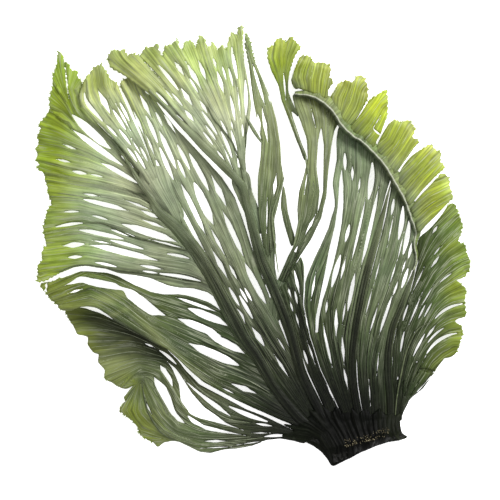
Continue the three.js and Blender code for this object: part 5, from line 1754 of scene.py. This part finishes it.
@dataclass
class Rib(Web):
    """One midrib: a low strap of grown-together fibres that tapers out along its vein.

    Args:
        extra: How much wider it is than the solid, so that it meets the blades.
        rise: How far its middle stands above its margins.
        lift: How far its margins stand above its route.
        taper: Steps from the tip over which it narrows.
    """

    slot: str = "rib"
    extra: float = 1.0
    rise: float = 0.7
    lift: float = 0.15
    taper: int = 12
    thickness: float = 1.7
    ridge: float = 0.22

    def __post_init__(self) -> None:
        """Draws the outline and the lines from the route."""
        route = open_curve(np.array(RIB_ROUTES[self.node] + RIB_TAILS[self.node], float), RIB_STEPS)
        side = left_of(np.gradient(route[:, :2], axis=0))
        narrow = np.clip(np.arange(RIB_STEPS)[::-1] / self.taper, 0.16, 1)
        half = ((route[:, 3] + self.extra) / 2 * narrow)[:, None]
        self.outline = as_tuples(np.vstack((route[:, :2] - side * half, (route[:, :2] + side * half)[::-1])))
        lines = []
        for part in RIB_LINES:
            plan = (route[:, :2] + side * (half * part))[::3]
            height = (route[:, 2] + self.lift + self.rise * (1 - part * part))[::3]
            lines.append(as_tuples(np.column_stack((plan, height))))
        self.lines = tuple(lines)

    def piece_name(self) -> str:
        """Returns the name of the finished piece."""
        return f"{self.node}_strap"

    def replaced(self) -> str:
        """Returns the name of the rib's solid."""
        return self.node

    def marks(self, plan: Array, seen: Probe) -> dict[str, Array]:
        """Works out what colours the strap, darkest along its middle.

        Args:
            plan: x and y of each point.
            seen: What the strands say at each point.

        Returns:
            The named values age, vein, shade, light and lime.
        """
        values = super().marks(plan, seen)
        centre = len(RIB_LINES) // 2
        middle = np.clip(1 - np.abs(seen.across / STRAND_WIDTH - centre) / centre, 0, 1)
        young = 1 - np.clip(1.5 * (rim_share(plan) - 0.25), 0, 0.9)
        values["vein"] = np.clip(0.1 + 1.2 * middle ** 1.4, 0, 1) * young
        core = 0.75 * middle ** 1.2 * (1 - smooth_step(rim_share(plan), 0.25, 0.7))
        values["shade"] = np.maximum(values["shade"], core)
        return values


@dataclass
class CrestFold(Part):
    """The fold along the right-hand crest: a steep inner side, a thin pale rim that carries a painted
    highlight, and a green slope.

    Args:
        finish: Its colours.
        slot: Name of a material slot; not used.
        steps: Rings along the rim.
        thickness: Thickness of the skin.
    """

    finish: BladeFinish
    slot: str = "lobe"
    steps: int = 300
    thickness: float = 0.8

    def build(self) -> Piece:
        """Sweeps the profile of the fold along the rim.

        Returns:
            The finished object.
        """
        rim = open_curve(np.array(CREST, float), self.steps)
        out, run = left_of(np.gradient(rim, axis=0)), distances_along(rim)
        part = run / run[-1]
        rim = rim + out * (0.1 * np.sin(run / 2.9) + 0.07 * np.sin(run / 0.8 + 1))[:, None]
        height = np.interp(part, *np.array(CREST_HEIGHTS, float).T)[:, None]
        reach = np.interp(part, *np.array(CREST_REACH, float).T)[:, None]
        move, drop = np.array(CREST_PROFILE, float).T
        wide = np.where(move > 0, move * reach, move)
        deep = drop * (np.clip(height - 9, 2, 10) / 10) + 0.12 * np.sin(run[:, None] / 0.9 + move)
        upper = np.dstack((rim[:, None, :] + out[:, None, :] * wide[..., None], height + deep))
        slope = np.gradient(drop) / np.gradient(move)
        lean = np.column_stack((-slope, np.ones(len(slope)))) / np.hypot(slope, 1)[:, None] * self.thickness
        lower = upper.copy()
        lower[..., :2] -= out[:, None, :] * lean[:, 0][None, :, None]
        lower[..., 2] -= lean[:, 1][None]
        points = np.vstack((upper.reshape(-1, 3), lower.reshape(-1, 3)))
        # The light values paint a highlight along the rim
        values = {"age": np.interp(move, *np.array(CREST_AGES, float).T),
                  "light": 1.8 * np.exp(-((move - 0.02) / 0.32) ** 2)}
        values = {name: np.tile(numbers, 2 * self.steps) for name, numbers in values.items()}
        pattern = np.column_stack((np.repeat(run, len(move)) * 1.3, np.tile(move, self.steps)))
        faces = self.faces(len(move))
        piece = MeshDraft("crest_fold", points, faces, values, np.tile(pattern, (2, 1))).to_object()
        shape = bmesh.new()
        shape.from_mesh(piece.data)
        bmesh.ops.recalc_face_normals(shape, faces=shape.faces)
        shape.to_mesh(piece.data)
        shape.free()
        return piece

    def faces(self, count: int) -> list[tuple[int, ...]]:
        """Numbers the corners of the swept skin.

        Args:
            count: Points of the profile.

        Returns:
            The corners of each face.
        """
        found, under = [], self.steps * count
        for i in range(self.steps - 1):
            for j in range(count - 1):
                a, b, c, d = i * count + j, i * count + j + 1, (i + 1) * count + j + 1, (i + 1) * count + j
                found += [(a, b, c, d), (d + under, c + under, b + under, a + under)]
            for j in (0, count - 1):
                a, b = i * count + j, (i + 1) * count + j
                found.append((a, b, b + under, a + under))
        for i in (0, self.steps - 1):
            for a in range(i * count, (i + 1) * count - 1):
                found.append((a, a + 1, a + 1 + under, a + under))
        return found


@dataclass
class Holdfast(Part):
    """The dark, matted base with its torn edge.

    Args:
        finish: Its skin.
        slot: Name of a material slot; not used.
        node: Name of the solid it replaces.
        voxel: Size of the remeshed grid in millimetres.
        groove: Depth of the grooves in millimetres.
    """

    finish: FibreFinish
    slot: str = "holdfast"
    node: str = "holdfast"
    voxel: float = 0.5
    groove: float = 0.4

    def build(self) -> Piece:
        """Remeshes a merged copy of the solid and presses grooves into it.

        Returns:
            The finished object.
        """
        shape = merged_solid(self.node)
        mesh = bpy.data.meshes.new("holdfast_mat")
        shape.to_mesh(mesh)
        shape.free()
        piece = in_scene("holdfast_mat", mesh)
        remesh = piece.modifiers.new("Even grid", "REMESH")
        remesh.mode, remesh.voxel_size = "VOXEL", self.voxel * MM
        fine = finished_mesh(piece)
        piece.modifiers.remove(remesh)
        piece.data = fine
        self.press_grooves(fine)
        return piece

    def press_grooves(self, mesh: bpy.types.Mesh) -> None:
        """Presses pits and ray-like grooves into the upper side.

        Args:
            mesh: The even mesh of the holdfast.
        """
        spots, normals = np.empty((2, len(mesh.vertices) * 3), np.float32)
        mesh.vertices.foreach_get("co", spots)
        mesh.vertices.foreach_get("normal", normals)
        spots, normals = spots.reshape(-1, 3) / MM, normals.reshape(-1, 3)
        x, y, z = spots.T
        aside, ahead = x - RAY_CENTRE[0], y - RAY_CENTRE[1]
        angle, radius = np.arctan2(aside, ahead), np.hypot(aside, ahead)
        groove = np.sin(angle * 62 + np.sin(radius / 3)) + 0.6 * np.sin(angle * 103 + radius / 5)
        pit = np.sin(x * 1.9 + z) * np.sin(y * 2.3 - z * 1.4)
        press = smooth_step(z, 0.3, 1.5) * (self.groove * groove * 0.6 + 0.25 * pit)
        mesh.vertices.foreach_set("co", ((spots + normals * press[:, None]) * MM).astype(np.float32).ravel())
        mesh.polygons.foreach_set("use_smooth", [True] * len(mesh.polygons))
        mesh.update()

    def replaced(self) -> str:
        """Returns the name of the holdfast's solid."""
        return self.node


@dataclass
class FibreMat(Part):
    """Raised fibres that lie along a blade or a vein.

    Args:
        name: Name of the piece.
        finish: Their skin.
        slot: Name of a material slot; not used.
        runs: x, y and z along each fibre.
        nodes: The nodes that round them.
        width: Half width in the middle of a fibre.
        sides: Sides of each round fibre.
    """

    name: str
    finish: FibreFinish
    slot: str
    runs: list[Array]
    nodes: FibreTree
    width: float = 0.22
    sides: int = 5

    def build(self) -> Piece:
        """Grows the fibres along their runs, thinner at both ends.

        Returns:
            The finished object.
        """
        swell = [np.sin(np.linspace(0.12, math.pi - 0.12, len(run))) for run in self.runs]
        widths = self.width * (0.35 + 0.65 * np.concatenate(swell))
        edges, start = [], 0
        for run in self.runs:
            edges += [(start + i, start + i + 1) for i in range(len(run) - 1)]
            start += len(run)
        mesh = bpy.data.meshes.new(self.name)
        mesh.from_pydata((np.vstack(self.runs) * MM).tolist(), edges, [])
        layer = mesh.attributes.new("half_width", "FLOAT", "POINT")
        layer.data.foreach_set("value", widths.astype(np.float32))
        return grown(in_scene(self.name, mesh), self.nodes.tree,
                     {"Thickness": 1.0, "Sides": self.sides, "Skin": self.finish.material()})


@dataclass
class ToothRow(Part):
    """Small pointed teeth, bristles or specks.

    Args:
        name: Name of the piece.
        finish: Their skin.
        slot: Name of a material slot; not used.
        places: x, y and z of each foot.
        headings: Direction of each tooth.
        nodes: The nodes that set them.
        width: Half width of a tooth.
        length: Length of a tooth.
        seed: Seed of the random sizes.
    """

    name: str
    finish: FibreFinish
    slot: str
    places: Array
    headings: Array
    nodes: ToothTree
    width: float = 0.4
    length: float = 1.1
    seed: int = 3

    def build(self) -> Piece:
        """Sets a tooth on each place.

        Returns:
            The finished object.
        """
        mesh = bpy.data.meshes.new(self.name)
        mesh.from_pydata((self.places * MM).tolist(), [], [])
        layer = mesh.attributes.new("heading", "FLOAT_VECTOR", "POINT")
        layer.data.foreach_set("vector", self.headings.astype(np.float32).ravel())
        return grown(in_scene(self.name, mesh), self.nodes.tree,
                     {"Width": self.width, "Length": self.length, "Seed": self.seed,
                      "Skin": self.finish.material()})


@dataclass
class Studio:
    """The pale floor, the soft light and the camera that looks straight down.

    Args:
        width: Width of the picture at the floor, in metres.
        centre: What the camera looks at.
        distance: Height of the camera.
        sensor: Width of the camera's sensor in millimetres.
        reach: How far the floor goes to each side.
        sink: How far the floor lies below the part.
        sky: Strength of the light from all sides.
        key: Power of the lamp, in watts.
        lamp_size: Width of the lamp.
        lamp_place: Where it hangs.
        table: How much the floor lights itself.
    """

    width: float = 0.25
    centre: tuple[float, float] = (-0.055, 0.095)
    distance: float = 1.2
    sensor: float = 36.0
    reach: float = 3.0
    sink: float = 0.0001
    sky: float = 0.95
    key: float = 12.0
    lamp_size: float = 0.3
    lamp_place: Point = (0.42, 0.62, 0.62)
    table: float = 0.7

    def floor(self) -> Piece:
        """Makes the floor with its pale finish.

        Returns:
            The floor.
        """
        sketch = NodeSketch("Pale floor")
        grain = sketch.fit(sketch.blotches(40, 2), NOISE_BAND, (0.985, 1.0))
        colour = sketch.times((0.96, 0.96, 0.96), grain)
        sheet = sketch.add("ShaderNodeBsdfPrincipled", {"Base Color": colour, "Roughness": 0.9,
                                                        "Emission Color": (1, 1, 1, 1),
                                                        "Emission Strength": self.table})
        mesh = bpy.data.meshes.new("floor")
        square = ((-1, -1), (1, -1), (1, 1), (-1, 1))
        corners = [(x * self.reach, y * self.reach, -self.sink) for x, y in square]
        mesh.from_pydata(corners, [], [(0, 1, 2, 3)])
        mesh.materials.append(sketch.finish(sheet.outputs[0]))
        return in_scene("floor", mesh)

    def build(self) -> None:
        """Makes the floor, the lights and the camera."""
        floor = self.floor()
        world = bpy.data.worlds.new("Soft room")
        world.use_nodes = True
        world.node_tree.nodes["Background"].inputs["Color"].default_value = (1, 1, 1, 1)
        world.node_tree.nodes["Background"].inputs["Strength"].default_value = self.sky
        bpy.context.scene.world = world
        bpy.context.scene.view_settings.view_transform = "Standard"
        lamp = bpy.data.lights.new("key light", "AREA")
        lamp.energy, lamp.size = self.key, self.lamp_size
        key = bpy.data.objects.new("key_light", lamp)
        key.location = self.lamp_place
        aim = Vector((*self.centre, 0)) - key.location
        key.rotation_euler = aim.to_track_quat("-Z", "Y").to_euler()
        view = bpy.data.cameras.new("camera")
        view.sensor_width = self.sensor
        view.lens = self.sensor * self.distance / self.width
        camera = bpy.data.objects.new("camera", view)
        camera.location = (*self.centre, self.distance)
        for thing in (key, camera):
            bpy.context.scene.collection.objects.link(thing)
        bpy.context.scene.camera = camera


HOLDFAST_SKIN = FibreFinish("Holdfast skin", (8, 9, 7), (26, 26, 20), 1.0, 0.5)
DARK_FIBRE = FibreFinish("Dark fibre", (14, 17, 12), (44, 50, 34), 2.0)
VEIN_FIBRE = FibreFinish("Vein fibre", (66, 74, 52), (122, 132, 98), 2.0)
LOOSE_FIBRE = FibreFinish("Loose strand", (104, 115, 84), (152, 164, 124), 2.0)
# Thin pale fibres are painted highlights along the blades
GLINT_FIBRE = FibreFinish("Glint fibre", (132, 142, 110), (206, 214, 182), 3.0)
LIME_TOOTH = FibreFinish("Lime tooth", (120, 146, 46), (170, 190, 88), 3.0)
PALE_SPECK = FibreFinish("Pale speck", (96, 88, 66), (178, 168, 134), 1.0, 0.6)

COLLAR = BladeFinish("Collar skin", (20, 24, 15), (54, 62, 40), (104, 112, 80), (128, 140, 100),
                     (128, 140, 100), pale=0.2, contrast=0.5, gloss=0.05)
STRAP = BladeFinish("Rib skin", (20, 24, 15), (64, 72, 48), (110, 119, 86), (158, 166, 128),
                    (176, 186, 142), contrast=0.4, pale=0.5, relief=0.12)
# The fold's pale bulge colour is the painted highlight on its rim
FOLD = BladeFinish("Crest fold", (104, 114, 84), (130, 140, 100), (142, 154, 98), (136, 150, 82),
                   (134, 148, 72), bulge_highlight=(232, 236, 212), pale=0.3)
LOWER = BladeFinish("Lower blade", (20, 23, 14), (50, 57, 36), (88, 96, 62), (118, 128, 86), (150, 160, 76))
FOLDED = BladeFinish("Folded blade", (22, 26, 15), (56, 64, 40), (84, 96, 58), (104, 118, 58),
                     (142, 156, 62))
MIDDLE = BladeFinish("Middle blade", (28, 32, 20), (78, 85, 60), (148, 155, 124), (190, 197, 158),
                     (166, 186, 72))
FAR = BladeFinish("Upper left blade", (28, 32, 20), (90, 98, 68), (172, 178, 140), (216, 222, 180),
                  (166, 190, 62))
UPPER = BladeFinish("Upper blade", (26, 30, 20), (76, 84, 60), (148, 156, 124), (208, 214, 176),
                    (206, 216, 132))
CENTRE = BladeFinish("Centre blade", (20, 24, 15), (52, 60, 38), (102, 112, 74), (160, 170, 120),
                     (176, 188, 124))
INNER = BladeFinish("Inner blade", (26, 32, 20), (84, 95, 64), (130, 143, 106), (150, 165, 128),
                    (126, 144, 102), contrast=0.6, pale=0.6)
OUTER = BladeFinish("Outer blade", (18, 22, 14), (42, 52, 30), (68, 82, 44), (98, 114, 60), (134, 152, 60))
LOBE = BladeFinish("Crest lobe", (132, 142, 92), (146, 154, 82), (142, 152, 50), (158, 168, 60),
                   (194, 202, 104), pale=0.45, contrast=0.65)
BRIGHT = BladeFinish("Bright lobe", (122, 130, 64), (154, 164, 54), (172, 184, 46), (182, 194, 44),
                     (190, 202, 72), pale=0.3)
TALL = BladeFinish("Tall lobe", (98, 108, 76), (122, 134, 86), (130, 146, 66), (144, 160, 46),
                   (190, 202, 92), pale=0.35)

# The finish of each blade, and the thin slits that some of them have
BLADES = {
    "lower_left_frond": LOWER, "left_crest_blade": FOLDED, "left_middle_blade": MIDDLE,
    "upper_left_blade": FAR, "upper_left_light_blade": UPPER, "upper_middle_blade": UPPER,
    "top_blade": UPPER, "top_ribbon": CENTRE, "short_prong": CENTRE, "fork_blade": CENTRE,
    "centre_left_blade": CENTRE, "centre_blade": INNER, "right_inner_blade": INNER,
    "right_outer_blade": OUTER,
}
SLITS = {
    "upper_middle_blade": SlitPlan(150, 14, 1.7, 0.3),
    "top_blade": SlitPlan(110, 12, 1.3, 0.6, 0.93),
    "upper_left_light_blade": SlitPlan(80, 13, 1.4, 0.5, 0.9),
    "left_middle_blade": SlitPlan(100, 14, 1.4),
    "upper_left_blade": SlitPlan(50, 10, 1.1, 0.6, 0.86),
    "centre_blade": SlitPlan(100, 16, 2.3, 0.36, 0.85),
    "right_inner_blade": SlitPlan(110, 15, 2.0, 0.36, 0.86),
    "centre_left_blade": SlitPlan(20, 12, 1.4, 0.2),
    "right_outer_blade": SlitPlan(80, 14, 1.1, 0.34, 0.84),
    "lower_left_frond": SlitPlan(60, 14, 1.5, 0.3, 0.66),
    "fork_blade": SlitPlan(6, 12, 1.2),
}

# The skin between ribs and blades looks like the blade beside it
JUNCTION_FINISHES = {"left_overlap": MIDDLE, "right_foot": OUTER, "right_fold": OUTER}


def blade_sheets() -> list[BladeSheet]:
    """Lists every blade and crest lobe of the frond.

    Returns:
        The blades in the order in which they are built.
    """
    sheets = [BladeSheet(node, finish, slits=SLITS.get(node, SlitPlan())) for node, finish in BLADES.items()]
    sheets.append(BladeSheet("tall_lobe", TALL, "lobe", AgeRule.STRAND, ruffle=0.7))
    for number in range(1, CREST_LOBES + 1):
        finish = BRIGHT if number == BRIGHTEST_LOBE else LOBE
        sheets.append(BladeSheet(f"crest_lobe_{number}", finish, "lobe", AgeRule.STRAND, ruffle=0.6,
                                 whole=True))
    return sheets


def vein_runs(sheets: list[BladeSheet]) -> list[Array]:
    """Lays the drawn veins on whichever blade is under them.

    Args:
        sheets: The finished blades.

    Returns:
        x, y and z along each part of a vein that a blade carries.
    """
    runs = []
    for route in (route for _, raised, route in VEIN_AND_SHADE_BANDS if raised):
        plan = open_curve(np.array(route, float), VEIN_POINTS)
        for sheet in sheets:
            held = is_inside(plan, sheet.margin.loops)
            if held.sum() > 5:
                runs.append(np.column_stack((plan[held], sheet.surface(plan[held])[0])))
    return runs


def skin_fibres(sheets: list[BladeSheet]) -> tuple[list[Array], list[Array]]:
    """Picks the fibres that stand out on the blades: dark ones near the foot, short pale ones further out,
    which are painted highlights.

    Args:
        sheets: The finished blades and ribs.

    Returns:
        x, y and z along each dark fibre, and along each pale one.
    """
    dark, pale = [], []
    for sheet in sheets:
        for number, run in enumerate(sheet.fibre_lines(FIBRES_BETWEEN, FIBRE_POINTS)):
            first = int(draw(number + 0.5, 31) * max(len(run) - GLINT_RESERVE, 1))
            place = rim_share(run)
            share, inner = place.mean(), run[place < DARK_END]
            if len(inner) > 8 and (share < DARK_CORE or number % 6 == 0):
                dark.append(inner)
            # Short pale fibres further out are painted highlights
            elif GLINT_BAND[0] < share < GLINT_BAND[1] and number % 2:
                pale.append(run[first:first + GLINT_POINTS])
    return dark, pale


def speck_marks(piece: Piece) -> tuple[Array, Array]:
    """Scatters specks over the torn edge of the holdfast.

    Args:
        piece: The finished collar.

    Returns:
        Places and headings, in millimetres.
    """
    (left, low), (run, rise), band = TORN_EDGE
    places, headings = [], []
    for number in range(SPECK_TRIES):
        part, side, lean = (draw(number + 1.0, seed) for seed in (11, 12, 13))
        x, y = left + run * part, low + rise * part + band * (side - 0.5)
        hit, spot, normal, _ = piece.ray_cast((x * MM, y * MM, 30 * MM), (0, 0, -1))
        if hit:
            places.append(np.array(spot) / MM)
            headings.append(np.array(normal) + (lean - 0.5, side - 0.5, 0))
    return np.array(places), np.array(headings)


def finished(part: Part) -> Piece:
    """Builds a part, dresses it and reports it.

    Args:
        part: The part.

    Returns:
        The finished piece.
    """
    piece = part.build()
    part.dress(piece)
    LOG.info("%s: %d faces", piece.name, len(piece.data.polygons))
    return piece


def main() -> None:
    """Builds every piece of the frond in order and reports it."""
    logging.basicConfig(level=logging.INFO, format="%(message)s")
    Studio().build()
    sheets = blade_sheets()
    ribs = [Rib(node, STRAP) for node in RIB_ROUTES]
    webs = [Web(name, JUNCTION_FINISHES.get(name, UPPER), outline=outline, lines=lines)
            for name, (outline, lines) in JUNCTIONS.items()]
    for part in (*sheets, *ribs, *webs, CrestFold(FOLD)):
        finished(part)
    collar = finished(Web("root_collar", COLLAR, "holdfast", outline=COLLAR_OUTLINE, lines=COLLAR_LINES,
                          ridge=0.3, ruffle=0))
    finished(Holdfast(HOLDFAST_SKIN))
    round_fibres, pointed_teeth = FibreTree(), ToothTree()
    dark, pale = skin_fibres(sheets + ribs)
    for number, (width, strand) in enumerate(LOOSE_STRANDS, 1):
        line = open_curve(np.array(strand, float), 40)
        finished(FibreMat(f"loose_strand_{number}", LOOSE_FIBRE, "rib", [line], round_fibres, width, 8))
    finished(FibreMat("root_fibres", DARK_FIBRE, "rib", dark, round_fibres, 0.2))
    finished(FibreMat("raised_veins", VEIN_FIBRE, "rib", vein_runs(sheets), round_fibres, 0.45, 6))
    # Thin pale fibres that are painted highlights
    finished(FibreMat("glint_fibres", GLINT_FIBRE, "blade", pale, round_fibres, 0.13, 4))
    places, headings = (np.vstack(rows) for rows in zip(*(sheet.tip_marks() for sheet in sheets)))
    finished(ToothRow("tip_teeth", LIME_TOOTH, "lobe", places, headings, pointed_teeth))
    finished(ToothRow("torn_edge_specks", PALE_SPECK, "holdfast", *speck_marks(collar), pointed_teeth,
                      0.22, 0.6, 7))


if __name__ == "__main__":
    main()
